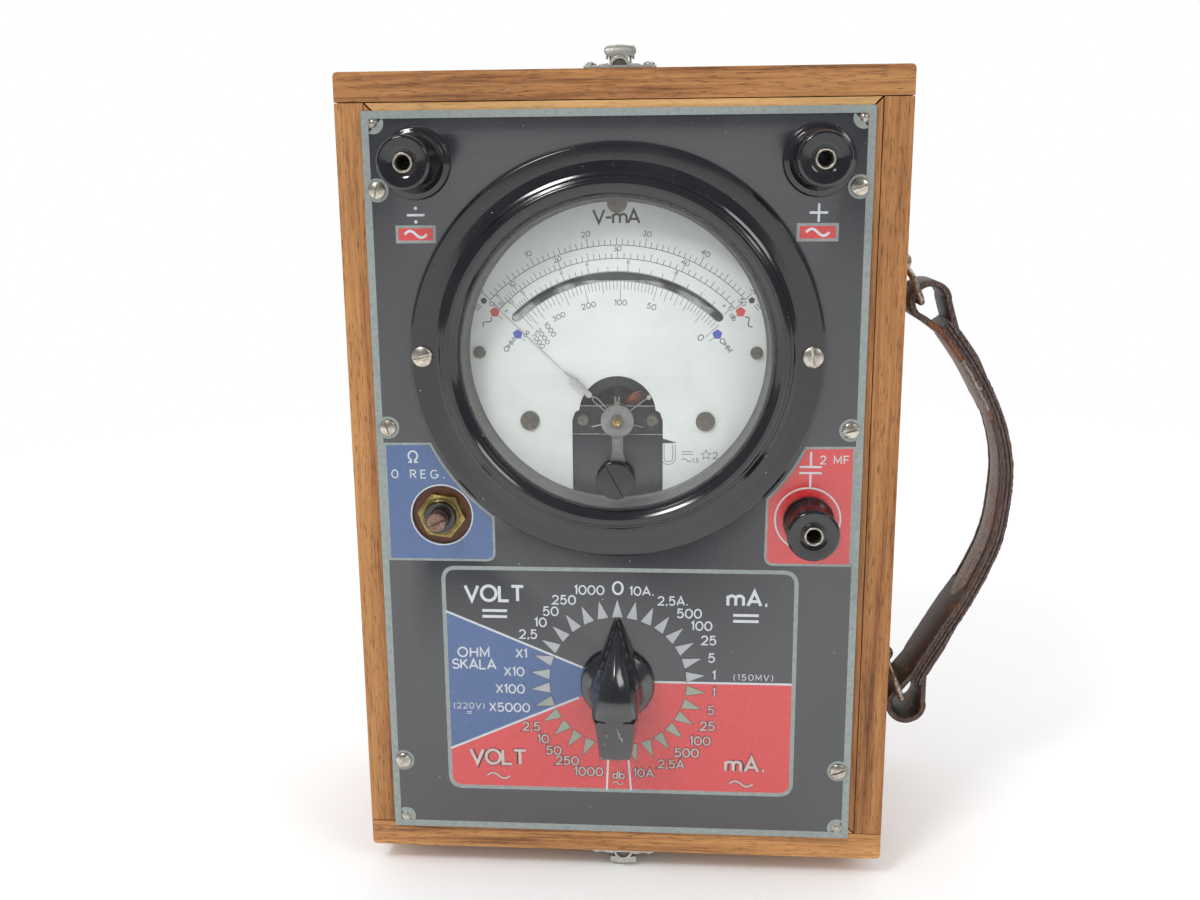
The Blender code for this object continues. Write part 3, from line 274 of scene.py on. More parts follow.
# A domed head cut by a screwdriver slot
def slottedHead(radius, base, top, crown, slot, depth, turn, centre=(0, 0), edge=0.35, rows=7, columns=16):
    verts, faces = [], []

    def level(x, y):
        r = min(math.hypot(x, y), radius)
        drop = crown * (r / radius) ** 2
        lip = max(0.0, r - (radius - edge)) / edge
        return top - drop - edge * (1 - math.sqrt(max(0.0, 1 - lip * lip)))

    spin = Matrix.Rotation(math.radians(turn), 2)

    def stand(x, y, z):
        p = spin @ Vector((x, y))
        return p.x + centre[0], p.y + centre[1], z

    for sign in (1, -1):
        base0 = len(verts)
        for k in range(rows + 1):
            share = math.sin(math.pi / 2 * k / rows)
            across = slot / 2 + (radius - slot / 2) * share
            half = math.sqrt(max(radius ** 2 - across ** 2, 0.0))
            for i in range(columns + 1):
                along = -half * math.cos(math.pi * i / columns)
                verts.append(stand(along, sign * across, level(along, across)))
        width = columns + 1
        for k in range(rows):
            for i in range(columns):
                a = base0 + k * width + i
                faces.append((a, a + 1, a + width + 1, a + width))
        rim = [base0 + k * width for k in range(rows + 1)]
        rim += [base0 + k * width + columns for k in range(rows - 1, -1, -1)]
        low = len(verts)
        verts += [(verts[i][0], verts[i][1], base) for i in rim]
        for i in range(len(rim) - 1):
            faces.append((rim[i], rim[i + 1], low + i + 1, low + i))
        front = [base0 + i for i in range(width)]
        low = len(verts)
        verts += [(verts[i][0], verts[i][1], top - crown * 0.4 - depth) for i in front]
        for i in range(columns):
            faces.append((front[i], front[i + 1], low + i + 1, low + i))
    half = math.sqrt(radius ** 2 - (slot / 2) ** 2)
    low = len(verts)
    floor = top - crown * 0.4 - depth
    for x, y in ((-half, -slot / 2), (half, -slot / 2), (half, slot / 2), (-half, slot / 2)):
        verts.append(stand(x, y, floor))
    faces.append((low, low + 1, low + 2, low + 3))
    return verts, faces


# Lettering: every letter is a few strokes in a box one unit high.

def bow(x, y, wide, high, start, end, steps=16):
    return [(x + wide * math.cos(math.radians(start + (end - start) * i / steps)),
             y + high * math.sin(math.radians(start + (end - start) * i / steps))) for i in range(steps + 1)]


letters = {
    "0": (0.76, [bow(0.38, 0.5, 0.38, 0.5, 90, 450, 28)]),
    "1": (0.26, [[(0.0, 0.8), (0.22, 1.0), (0.22, 0.0)]]),
    "2": (0.68, [[*bow(0.33, 0.7, 0.31, 0.3, 170, -38), (0.03, 0.0), (0.7, 0.0)]]),
    "3": (0.64, [[*bow(0.3, 0.75, 0.27, 0.25, 150, -90, 12), *bow(0.3, 0.26, 0.33, 0.26, 90, -155, 14)[1:]]]),
    "4": (0.7, [[(0.52, 0.0), (0.52, 1.0), (0.0, 0.3), (0.72, 0.3)]]),
    "5": (0.66, [[(0.6, 1.0), (0.12, 1.0), (0.07, 0.54), *bow(0.3, 0.33, 0.34, 0.33, 112, -150)]]),
    "6": (0.68, [[*bow(0.62, 0.34, 0.6, 0.66, 95, 178, 10), *bow(0.34, 0.32, 0.32, 0.32, 180, 540, 22)[1:]]]),
    "7": (0.64, [[(0.0, 1.0), (0.64, 1.0), (0.22, 0.0)]]),
    "8": (0.66, [bow(0.33, 0.76, 0.26, 0.24, -90, 270, 20), bow(0.33, 0.26, 0.33, 0.27, 90, 450, 22)]),
    "V": (0.84, [[(0.0, 1.0), (0.42, 0.0), (0.84, 1.0)]]),
    "O": (0.96, [bow(0.48, 0.5, 0.48, 0.5, 90, 450, 30)]),
    "L": (0.58, [[(0.0, 1.0), (0.0, 0.0), (0.6, 0.0)]]),
    "T": (0.76, [[(0.0, 1.0), (0.78, 1.0)], [(0.39, 1.0), (0.39, 0.0)]]),
    "m": (1.04, [[(0.0, 0.0), (0.0, 0.68)], [*bow(0.26, 0.44, 0.26, 0.24, 170, 0, 10), (0.52, 0.0)],
                 [*bow(0.78, 0.44, 0.26, 0.24, 170, 0, 10), (1.04, 0.0)]]),
    "A": (0.86, [[(0.0, 0.0), (0.43, 1.0), (0.86, 0.0)], [(0.15, 0.3), (0.71, 0.3)]]),
    "X": (0.7, [[(0.0, 0.0), (0.7, 1.0)], [(0.0, 1.0), (0.7, 0.0)]]),
    "H": (0.72, [[(0.0, 0.0), (0.0, 1.0)], [(0.72, 0.0), (0.72, 1.0)], [(0.0, 0.52), (0.72, 0.52)]]),
    "M": (0.86, [[(0.0, 0.0), (0.0, 1.0), (0.43, 0.2), (0.86, 1.0), (0.86, 0.0)]]),
    "S": (0.66, [[*bow(0.34, 0.74, 0.3, 0.26, 28, 268, 14), *bow(0.33, 0.26, 0.33, 0.25, 88, -155, 14)]]),
    "K": (0.68, [[(0.0, 0.0), (0.0, 1.0)], [(0.64, 1.0), (0.0, 0.4)], [(0.22, 0.6), (0.7, 0.0)]]),
    "(": (0.2, [bow(0.42, 0.44, 0.4, 0.72, 130, 230, 10)]),
    ")": (0.2, [bow(-0.22, 0.44, 0.4, 0.72, 50, -50, 10)]),
    "R": (0.66, [[(0.0, 0.0), (0.0, 1.0), *bow(0.36, 0.75, 0.27, 0.25, 90, -90, 10), (0.0, 0.5)],
                 [(0.34, 0.5), (0.68, 0.0)]]),
    "E": (0.58, [[(0.58, 1.0), (0.0, 1.0), (0.0, 0.0), (0.6, 0.0)], [(0.0, 0.52), (0.52, 0.52)]]),
    "F": (0.56, [[(0.58, 1.0), (0.0, 1.0), (0.0, 0.0)], [(0.0, 0.52), (0.5, 0.52)]]),
    "G": (0.92, [[*bow(0.47, 0.5, 0.47, 0.5, 48, 340, 22), (0.94, 0.44), (0.52, 0.44)]]),
    "d": (0.6, [bow(0.29, 0.32, 0.29, 0.32, 0, 360, 20), [(0.6, 1.0), (0.6, 0.0)]]),
    "b": (0.6, [[(0.0, 1.0), (0.0, 0.0)], bow(0.31, 0.32, 0.29, 0.32, 180, 540, 20)]),
    "Ω": (0.9, [[(0.02, 0.0), (0.28, 0.0), *bow(0.45, 0.58, 0.4, 0.42, 242, -62, 24), (0.62, 0.0),
                 (0.88, 0.0)]]),
    "+": (0.7, [[(0.0, 0.5), (0.7, 0.5)], [(0.35, 0.15), (0.35, 0.85)]]),
    "-": (0.44, [[(0.0, 0.42), (0.44, 0.42)]]),
    ".": (0.12, [[(0.0, 0.06), (0.13, 0.06)]]),
    ",": (0.12, [[(0.1, 0.13), (0.02, -0.14)]]),
    " ": (0.3, []),
}
lettering = {"gap": 0.25, "lift": 0.004}


# Text about (x, y); the weight is the stroke's share of the height, the width sets the spacing
def words(text, x, y, height, level, turn=0.0, weight=0.15, width=None):
    wide = [letters[c][0] for c in text]
    gap = lettering["gap"]
    if width and len(text) > 1:
        gap = max((width / height - weight - sum(wide)) / (len(text) - 1), 0.12)
    total = sum(wide) + gap * (len(text) - 1)
    spin = Matrix.Rotation(math.radians(turn), 2)
    shape = newShape()
    at, strokes = -total / 2, 0
    for letter, span in zip(text, wide):
        for stroke in letters[letter][1]:
            points = []
            for a, b in stroke:
                p = spin @ Vector(((a + at) * height, (b - 0.5) * height))
                points.append((p.x + x, p.y + y))
            closed = (Vector(points[0]) - Vector(points[-1])).length < 1e-6
            points = points[:-1] if closed else points
            thick = weight * height * (1.15 if letter == "." else 1.0)
            put(shape, line(points, thick, level + lettering["lift"] * (strokes % 3), closed))
            strokes += 1
        at += span + gap
    return shape["verts"], shape["faces"]


def wave(x, y, width, height, thick, level, turn=0.0):
    spin = Matrix.Rotation(math.radians(turn), 2)
    points = []
    for i in range(25):
        t = i / 24
        p = spin @ Vector(((t - 0.5) * width, math.sin(t * math.tau) * height / 2))
        points.append((p.x + x, p.y + y))
    return line(points, thick, level)


def bars(x, y, width, thick, gap, level, turn=0.0):
    shape = newShape()
    spin = Matrix.Rotation(math.radians(turn), 2)
    for sign in (1, -1):
        ends = [spin @ Vector((s * width / 2, sign * gap / 2)) for s in (-1, 1)]
        put(shape, line([(p.x + x, p.y + y) for p in ends], thick, level))
    return shape["verts"], shape["faces"]


# Materials

def tone(red, green, blue):
    return tuple(((c / 255 + 0.055) / 1.055) ** 2.4 if c > 10 else c / 255 / 12.92 for c in (red, green, blue))


def add(tree, kind, inputs=None, **settings):
    node = tree.nodes.new("ShaderNode" + kind)
    for key, value in settings.items():
        setattr(node, key, value)
    for key, value in (inputs or {}).items():
        socket = node.inputs[key]
        if isinstance(value, bpy.types.NodeSocket):
            tree.links.new(value, socket)
        else:
            socket.default_value = value
    return node


def startMaterial(name, base, roughness, metallic=0.0, **constants):
    material = bpy.data.materials.new(name)
    material.use_nodes = True
    material.diffuse_color = (*base, 1)
    tree = material.node_tree
    shader = tree.nodes["Principled BSDF"]
    shader.inputs["Base Color"].default_value = (*base, 1)
    shader.inputs["Roughness"].default_value = roughness
    shader.inputs["Metallic"].default_value = metallic
    for key, value in constants.items():
        shader.inputs[key.replace("_", " ")].default_value = value
    coords = add(tree, "TexCoord")
    place = add(tree, "Mapping", {"Vector": coords.outputs["Object"], "Scale": (1000, 1000, 1000)})
    return material, tree, shader, place.outputs["Vector"]


def stretched(tree, place, factors):
    return add(tree, "Mapping", {"Vector": place, "Scale": factors}).outputs["Vector"]


def noiseOf(tree, place, scale, detail=3.0, roughness=0.5, distortion=0.0):
    return add(tree, "TexNoise", {"Vector": place, "Scale": scale, "Detail": detail, "Roughness": roughness,
                                  "Distortion": distortion}).outputs["Fac"]


def ramp(tree, value, stops, mode="LINEAR"):
    node = add(tree, "ValToRGB", {"Fac": value})
    node.color_ramp.interpolation = mode
    while len(node.color_ramp.elements) < len(stops):
        node.color_ramp.elements.new(0.5)
    for element, (at, colour) in zip(node.color_ramp.elements, stops):
        element.position = at
        colour = (colour,) * 3 if isinstance(colour, (int, float)) else colour
        element.color = (*colour, 1)
    return node.outputs["Color"]


def mixed(tree, factor, first, second, blend="MIX"):
    def full(colour):
        return (*colour, 1) if isinstance(colour, tuple) and len(colour) == 3 else colour
    return add(tree, "MixRGB", {"Fac": factor, "Color1": full(first), "Color2": full(second)},
               blend_type=blend).outputs["Color"]


def sums(tree, operation, first, second=0.5):
    return add(tree, "Math", {0: first, 1: second}, operation=operation).outputs[0]


# Scattered dots: about one in a cell of 1/scale mm, kept where the cell's number is over the share
def specks(tree, place, scale, size, share):
    cells = add(tree, "TexVoronoi", {"Vector": place, "Scale": scale})
    near = sums(tree, "LESS_THAN", cells.outputs["Distance"], size)
    split = add(tree, "SeparateColor", {"Color": cells.outputs["Color"]})
    kept = sums(tree, "GREATER_THAN", split.outputs[0], share)
    return sums(tree, "MULTIPLY", near, kept)


def bump(tree, shader, height, strength, distance):
    node = add(tree, "Bump", {"Height": height, "Strength": strength, "Distance": distance})
    tree.links.new(node.outputs["Normal"], shader.inputs["Normal"])


def paint(tree, shader, colour=None, roughness=None):
    if colour is not None:
        tree.links.new(colour, shader.inputs["Base Color"])
    if roughness is not None:
        tree.links.new(roughness, shader.inputs["Roughness"])


def woodMaterial(name, axis, dark, middle, light, roughness=0.5, pores=0.5):
    material, tree, shader, place = startMaterial(name, middle, roughness, 0.0, Specular_IOR_Level=0.3)
    squeeze = [1.0, 1.0, 1.0]
    squeeze[axis] = 0.035
    along = stretched(tree, place, squeeze)
    broad = noiseOf(tree, along, 0.16, 4, 0.6, 0.6)
    streak = noiseOf(tree, along, 1.1, 4, 0.65, 0.3)
    blend = sums(tree, "ADD", sums(tree, "MULTIPLY", broad, 0.55), sums(tree, "MULTIPLY", streak, 0.45))
    colour = ramp(tree, blend, [(0.34, dark), (0.47, middle), (0.62, light)])
    squeeze[axis] = 0.09
    fine = stretched(tree, place, squeeze)
    pore = ramp(tree, noiseOf(tree, fine, 2.6, 2, 0.5), [(0.34, 1.0), (0.42, 0.0)])
    colour = mixed(tree, sums(tree, "MULTIPLY", pore, pores), colour, tuple(c * 0.28 for c in dark))
    blotch = noiseOf(tree, place, 0.02, 3, 0.6)
    colour = mixed(tree, 0.4, colour, ramp(tree, blotch, [(0.3, 0.62), (0.7, 1.0)]), "MULTIPLY")
    rough = ramp(tree, streak, [(0.3, roughness - 0.1), (0.7, roughness + 0.12)])
    paint(tree, shader, colour, rough)
    bump(tree, shader, sums(tree, "SUBTRACT", streak, sums(tree, "MULTIPLY", pore, 0.6)), 0.35, 0.00018)
    return material


def mouldedMaterial(name, base, roughness, dust=0.5, dustColour=(0.5, 0.5, 0.51), haze=0.03, **constants):
    material, tree, shader, place = startMaterial(name, base, roughness, 0.0, **constants)
    smear = noiseOf(tree, place, 0.03, 3, 0.55, 0.6)
    film = noiseOf(tree, place, 0.9, 4, 0.7)
    colour = mixed(tree, ramp(tree, smear, [(0.35, 0.0), (0.8, haze)]), base, dustColour)
    colour = mixed(tree, ramp(tree, film, [(0.5, 0.0), (0.9, haze * 1.5)]), colour, dustColour)
    dots = specks(tree, place, 0.22, 0.045, 0.7)
    tiny = specks(tree, place, 0.8, 0.07, 0.86)
    both = sums(tree, "MAXIMUM", dots, tiny)
    colour = mixed(tree, sums(tree, "MULTIPLY", both, dust), colour, dustColour)
    rough = ramp(tree, smear, [(0.3, roughness), (0.8, roughness + 0.08)])
    paint(tree, shader, colour, rough)
    bump(tree, shader, noiseOf(tree, place, 0.35, 2, 0.5), 0.04, 0.0002)
    return material


def metalMaterial(name, base, roughness, tarnish, amount=0.5, streak=None, metallic=1.0):
    material, tree, shader, place = startMaterial(name, base, roughness, metallic)
    spots = noiseOf(tree, place, 0.7, 5, 0.65, 0.4)
    worn = ramp(tree, spots, [(0.42, 0.0), (0.68, amount)])
    colour = mixed(tree, worn, base, tarnish)
    rough = ramp(tree, spots, [(0.3, max(roughness - 0.08, 0.03)), (0.7, min(roughness + 0.22, 1.0))])
    paint(tree, shader, colour, rough)
    lines = stretched(tree, place, streak or (3, 3, 3))
    bump(tree, shader, noiseOf(tree, lines, 1.2, 3, 0.6), 0.12, 0.00006)
    return material


def printMaterial(name, base, roughness=0.42, wear=0.12, under=(0.3, 0.3, 0.3), dust=0.35, **constants):
    material, tree, shader, place = startMaterial(name, base, roughness, 0.0, **constants)
    cloud = noiseOf(tree, place, 0.35, 5, 0.6)
    colour = mixed(tree, ramp(tree, cloud, [(0.4, 0.0), (0.85, wear)]), base, under)
    grains = specks(tree, place, 0.35, 0.06, 0.75)
    colour = mixed(tree, sums(tree, "MULTIPLY", grains, dust), colour, (0.6, 0.6, 0.6))
    rough = ramp(tree, cloud, [(0.3, roughness - 0.06), (0.7, roughness + 0.1)])
    paint(tree, shader, colour, rough)
    bump(tree, shader, noiseOf(tree, place, 1.5, 2, 0.5), 0.06, 0.0001)
    return material


walnutUp = woodMaterial("walnutUp", 2, tone(104, 64, 34), tone(160, 108, 64), tone(186, 134, 82))
walnutAcross = woodMaterial("walnutAcross", 0, tone(108, 66, 36), tone(166, 114, 68), tone(192, 140, 86))
# A lighter copy of the walnut for the bottom board: painted light that offsets the shade near the floor
walnutBottomPaintedLight = woodMaterial("walnutBottomPaintedLight", 0, tone(130, 84, 50), tone(188, 134, 82), tone(208, 156, 100))
liningUp = woodMaterial("liningUp", 2, tone(120, 76, 40), tone(166, 114, 68), tone(186, 134, 84), 0.55, 0.3)
liningAcross = woodMaterial("liningAcross", 0, tone(150, 104, 56), tone(198, 152, 98), tone(212, 168, 112),
                            0.55, 0.3)
plywood = woodMaterial("plywood", 2, tone(150, 112, 76), tone(190, 152, 108), tone(208, 174, 132), 0.62, 0.25)
pertinax = printMaterial("pertinax", tone(92, 52, 30), 0.4, 0.4, tone(58, 32, 20))
lacquer = {"Specular_IOR_Level": 1.0, "Coat_Weight": 0.55, "Coat_Roughness": 0.12}
enamel = mouldedMaterial("enamel", tone(34, 35, 40), 0.2, 0.7, haze=0.02, **lacquer)
bakelite = mouldedMaterial("bakelite", tone(20, 20, 23), 0.1, 0.6, haze=0.015, Specular_IOR_Level=0.7,
                           Coat_Weight=0.3)
knobBlack = mouldedMaterial("knobBlack", tone(22, 22, 25), 0.12, 0.7, haze=0.02, **lacquer)
coverBlack = mouldedMaterial("coverBlack", tone(18, 21, 30), 0.2, 0.95, haze=0.04)
silverPrint = metalMaterial("silverPrint", tone(150, 158, 155), 0.42, tone(108, 116, 110), 0.4, (0.4, 3, 3),
                            0.3)
bluePrint = printMaterial("bluePrint", tone(46, 80, 130), 0.24, 0.2, tone(66, 92, 132), **lacquer)
redPrint = printMaterial("redPrint", tone(196, 44, 46), 0.24, 0.25, tone(176, 66, 64), **lacquer)
whitePrint = printMaterial("whitePrint", tone(196, 200, 204), 0.5, 0.3, tone(150, 154, 156))
toothPrint = printMaterial("toothPrint", tone(168, 172, 174), 0.45, 0.4, tone(134, 138, 140))
toothRed = printMaterial("toothRed", tone(152, 160, 144), 0.45, 0.4, tone(126, 128, 118))
palePrint = printMaterial("palePrint", tone(198, 178, 172), 0.5, 0.35, tone(160, 134, 128))
darkPrint = printMaterial("darkPrint", tone(74, 50, 52), 0.5, 0.2, tone(40, 36, 38))
inkPrint = printMaterial("inkPrint", tone(38, 38, 40), 0.6, 0.35, tone(90, 90, 90), 0.0)
blueInk = printMaterial("blueInk", tone(74, 92, 190), 0.5, 0.3, tone(110, 122, 200), 0.0)
redInk = printMaterial("redInk", tone(218, 70, 66), 0.5, 0.3, tone(230, 110, 100), 0.0)
dullNickel = metalMaterial("dullNickel", tone(122, 118, 108), 0.4, tone(84, 80, 70), 0.6)
nickel = metalMaterial("nickel", tone(212, 206, 194), 0.26, tone(132, 116, 96), 0.65)
paleNickel = metalMaterial("paleNickel", tone(206, 204, 196), 0.36, tone(150, 142, 126), 0.5)
wornNickel = metalMaterial("wornNickel", tone(180, 170, 156), 0.32, tone(88, 64, 46), 0.95)
brass = metalMaterial("brass", tone(190, 160, 96), 0.3, tone(110, 86, 50), 0.6)
oliveBrass = metalMaterial("oliveBrass", tone(170, 152, 96), 0.32, tone(92, 80, 48), 0.7)
steel = metalMaterial("steel", tone(150, 150, 147), 0.42, tone(104, 102, 96), 0.4, (0.3, 4, 4), 0.7)
darkSteel = metalMaterial("darkSteel", tone(60, 60, 66), 0.36, tone(34, 34, 40), 0.6)
copper = metalMaterial("copper", tone(178, 104, 66), 0.34, tone(92, 50, 32), 0.6, (6, 6, 1))
shaftMetal = metalMaterial("shaftMetal", tone(160, 132, 118), 0.42, tone(100, 76, 68), 0.7)
magnetSteel = metalMaterial("magnetSteel", tone(46, 48, 54), 0.4, tone(28, 28, 32), 0.5)
cardboard = printMaterial("cardboard", tone(150, 126, 92), 0.8, 0.5, tone(110, 90, 64), 0.0)
throatGrey = printMaterial("throatGrey", tone(104, 104, 100), 0.55, 0.3, tone(84, 84, 82), 0.0)
needleMetal = metalMaterial("needleMetal", tone(196, 196, 194), 0.35, tone(150, 148, 144), 0.3)


def makeDialMaterial():
    material, tree, shader, place = startMaterial("dialPaint", tone(238, 243, 239), 0.5)
    cloud = noiseOf(tree, place, 0.05, 4, 0.6, 0.8)
    colour = ramp(tree, cloud, [(0.3, tone(232, 237, 233)), (0.7, tone(244, 248, 245))])
    fleck = specks(tree, place, 0.3, 0.05, 0.8)
    colour = mixed(tree, sums(tree, "MULTIPLY", fleck, 0.5), colour, tone(150, 146, 136))
    paint(tree, shader, colour, ramp(tree, cloud, [(0.3, 0.42), (0.7, 0.55)]))
    bump(tree, shader, noiseOf(tree, place, 2.0, 3, 0.5), 0.08, 0.0001)
    return material


def makeMirrorMaterial():
    material, tree, shader, place = startMaterial("mirrorPaintedReflections", tone(168, 172, 170), 0.06, 1.0)
    # Broad dark and light patches in the silver: painted reflection patches along the band
    cloud = noiseOf(tree, place, 0.06, 3, 0.6, 1.0)
    colour = ramp(tree, cloud, [(0.42, tone(66, 68, 70)), (0.5, tone(150, 152, 148)),
                                (0.62, tone(178, 182, 178))])
    paint(tree, shader, colour, ramp(tree, cloud, [(0.3, 0.16), (0.7, 0.05)]))
    bump(tree, shader, noiseOf(tree, place, 0.4, 2, 0.5), 0.04, 0.0001)
    return material


def makeGlassMaterial():
    material, tree, shader, place = startMaterial("meterGlass", (1.0, 1.0, 1.0), 0.015, 0.0,
                                                  Transmission_Weight=1.0, IOR=1.46)
    smear = noiseOf(tree, place, 0.07, 4, 0.7, 1.5)
    paint(tree, shader, None, ramp(tree, smear, [(0.5, 0.0), (0.8, 0.05)]))
    clear = add(tree, "BsdfTransparent", {"Color": (0.95, 0.97, 0.96, 1)})
    paths = add(tree, "LightPath")
    blend = add(tree, "MixShader", {0: paths.outputs["Is Shadow Ray"], 1: shader.outputs[0],
                                    2: clear.outputs[0]})
    tree.links.new(blend.outputs[0], tree.nodes["Material Output"].inputs["Surface"])
    return material


def makeLeatherMaterial(name="leather", base=tone(66, 44, 36), high=tone(122, 104, 94),
                        worn=tone(150, 88, 48), scuffAndSheen=0.5):
    material, tree, shader, place = startMaterial(name, base, 0.5)
    along = stretched(tree, place, (1, 1, 0.4))
    grain = noiseOf(tree, along, 1.1, 6, 0.75, 0.8)
    crease = add(tree, "TexVoronoi", {"Vector": along, "Scale": 0.9},
                 feature="DISTANCE_TO_EDGE").outputs["Distance"]
    # Raised grain goes towards the lighter colour: partly scuff wear, partly painted sheen on the wrinkles
    colour = mixed(tree, ramp(tree, grain, [(scuffAndSheen - 0.06, 0.0), (scuffAndSheen + 0.14, 0.85)]), base, high)
    patch = ramp(tree, noiseOf(tree, place, 0.06, 3, 0.55), [(0.6, 0.0), (0.66, 1.0)])
    spot = ramp(tree, noiseOf(tree, along, 0.5, 4, 0.6), [(0.45, 0.0), (0.55, 1.0)])
    colour = mixed(tree, sums(tree, "MULTIPLY", patch, spot), colour, worn)
    # Creases are darkened to a third of the base colour: painted shade in the creases; the bump also sinks them
    dark = ramp(tree, crease, [(0.0, 0.7), (0.09, 0.0)])
    colour = mixed(tree, dark, colour, tuple(c * 0.3 for c in base))
    paint(tree, shader, colour, ramp(tree, grain, [(0.3, 0.36), (0.7, 0.62)]))
    height = sums(tree, "SUBTRACT", grain, sums(tree, "MULTIPLY", dark, 0.8))
    bump(tree, shader, height, 0.5, 0.0003)
    return material


dialPaint = makeDialMaterial()
mirrorPaintedReflections = makeMirrorMaterial()
meterGlass = makeGlassMaterial()
leather = makeLeatherMaterial()
leatherInside = makeLeatherMaterial("leatherInside", tone(50, 33, 26), tone(86, 58, 40), tone(166, 98, 50))
leatherScuffed = makeLeatherMaterial("leatherScuffed", tone(92, 78, 72), tone(170, 158, 152),
                                     tone(150, 92, 54), 0.42)
leatherEdge = makeLeatherMaterial("leatherEdge", tone(74, 56, 52), tone(120, 102, 96), tone(128, 80, 52))
leatherWorn = makeLeatherMaterial("leatherWorn", tone(96, 58, 38), tone(150, 92, 56), tone(196, 124, 66), 0.4)
threadDark = printMaterial("threadDark", tone(50, 36, 30), 0.7, 0.4, tone(96, 78, 64), 0.0)
print("materials made")


# Carried-over nodes get their finishes.

finishes = {
    "case_top": walnutAcross, "case_bottom": walnutBottomPaintedLight, "case_left": walnutUp, "case_right": walnutUp,
    "case_back": plywood, "lining_top": liningAcross, "lining_bottom": liningAcross,
    "lining_left": liningUp, "lining_right": liningUp, "panel_base": pertinax, "face_plate": silverPrint,
    "meter_glass": meterGlass, "meter_housing": coverBlack, "magnet": magnetSteel, "pole_piece": coverBlack,
    "core": darkSteel, "bridge": darkSteel, "moving_coil": copper, "hairspring": brass, "zero_lever": steel,
    "switch_bushing": brass, "switch_wafer": pertinax, "switch_rotor": brass, "switch_shaft": steel,
    "ohm_pot_body": bakelite, "capacitor": magnetSteel, "battery": cardboard, "resistor_card": pertinax,
    "rectifier": brass,
}
softEdges = {
    "case_top": 0.5, "case_bottom": 0.5, "case_left": 0.45, "case_right": 0.45, "lining_top": 0.25,
    "lining_bottom": 0.25, "lining_left": 0.25, "lining_right": 0.25, "face_plate": 0.12, "bridge": 0.12,
    "case_back": 0.3,
}
for node, material in finishes.items():
    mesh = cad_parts[node].data
    mesh.materials.clear()
    mesh.materials.append(material)
for node, width in softEdges.items():
    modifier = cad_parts[node].modifiers.new("softEdge", "BEVEL")
    modifier.width = width * mm
    modifier.segments = 3
    modifier.limit_method = "ANGLE"
    modifier.angle_limit = math.radians(40)
    modifier.harden_normals = False
print("carried-over nodes finished")


# Front panel prints

# The coloured corner plate beside the meter: straight outside, following the bezel inside
def plateOutline(side):
    if side < 0:
        edge, top, shoulder, low, foot, middle = 72.8, 15.75, 58.1, -22.5, 38.5, -7.7
    else:
        edge, top, shoulder, low, foot, middle = 72.8, 15.6, 57.2, -22.6, 45.8, -0.8
    centre, radius = (0, 43.35), 64.0
    start = math.degrees(math.atan2(top - centre[1], shoulder))
    end = math.degrees(math.atan2(middle - centre[1], foot))
    bow = arc(radius, start, end, centre, 16)
    tail = fillet([bow[-1], (foot, low), (edge, low), (edge, top)], [0, 3.2, 0, 0], 6, False)
    outline = [*bow[:-1], *tail]
    outline = [(side * x, y) for x, y in outline]
    area = sum(a[0] * b[1] - b[0] * a[1] for a, b in zip(outline, outline[1:] + outline[:1]))
    return outline if area > 0 else outline[::-1]


# Keeps the part of a convex outline to the left of each line
def clipped(outline, lines):
    for a, b in lines:
        a, b = Vector(a), Vector(b)
        along = b - a
        out = []
        for p, q in zip(outline, outline[1:] + outline[:1]):
            p, q = Vector(p), Vector(q)
            sideP, sideQ = along.cross(p - a), along.cross(q - a)
            if sideP >= 0:
                out.append(tuple(p))
            if sideP * sideQ < 0:
                out.append(tuple(p + (q - p) * (sideP / (sideP - sideQ))))
        outline = out
    return outline


label = {
    "left": -56.2, "right": 56.8, "top": -24.1, "bottom": -101.3, "round": 5.0, "line": 1.3,
    "hub": (0.0, -62.6), "toothBase": 22.1, "toothTip": 28.1, "toothHalf": 1.75,
    "blueTop": ((-55.0, -39.4), (-11.2, -57.8)), "blueLow": ((-55.1, -87.0), (-12.5, -68.1)),
    "redTop": ((11.6, -62.2), (55.6, -62.1)),
    "notch": (((-3.0, -84.0), (-3.8, -100.6)), ((3.0, -84.0), (4.2, -100.6))),
    "dark": [
        ("0", 0.2, -30.7, 4.0), ("10A.", 7.7, -31.6, 2.7), ("2,5A.", 17.6, -34.7, 2.7),
        ("500", 22.8, -38.8, 2.8),
        ("100", 26.7, -42.9, 2.8), ("25", 29.0, -47.7, 2.8), ("5", 30.0, -53.6, 2.8), ("1", 30.8, -59.5, 2.8),
        ("2,5", -28.7, -46.7, 2.8), ("10", -24.6, -42.6, 2.8), ("50", -21.3, -38.8, 2.8),
        ("250", -17.0, -34.9, 2.8), ("1000", -8.9, -31.5, 2.8), ("VOLT", -39.3, -33.1, 4.9, 19.6),
        ("mA.", 41.0, -33.5, 4.7, 13.2), ("(150MV)", 43.3, -60.0, 1.9, 12.6),
    ],
    "blue": [
        ("X5000", -35.3, -72.1, 2.8), ("X100", -34.9, -65.6, 2.8), ("X10", -33.5, -59.6, 2.8),
        ("X1", -31.0, -53.3, 2.8), ("OHM", -46.6, -53.2, 3.1, 10.5), ("SKALA", -46.5, -57.3, 3.1, 14.6),
        ("(220V)", -48.6, -71.8, 1.9, 10.2),
    ],
    "red": [
        ("1", 30.8, -65.4, 2.8), ("5", 30.0, -71.6, 2.8), ("25", 28.9, -77.1, 2.8), ("100", 26.6, -82.3, 2.8),
        ("500", 22.3, -86.6, 2.8), ("2,5A", 17.3, -90.7, 2.7), ("10A.", 8.8, -94.1, 2.7),
        ("db", 0.1, -95.0, 2.6), ("1000", -9.7, -94.1, 2.8), ("250", -16.7, -90.4, 2.8),
        ("50", -21.1, -86.9, 2.8),
        ("10", -24.5, -82.9, 2.8), ("2,5", -28.3, -78.6, 2.8), ("VOLT", -39.5, -89.7, 4.9, 19.0),
        ("mA.", 41.1, -90.2, 4.7, 13.2),
    ],
}


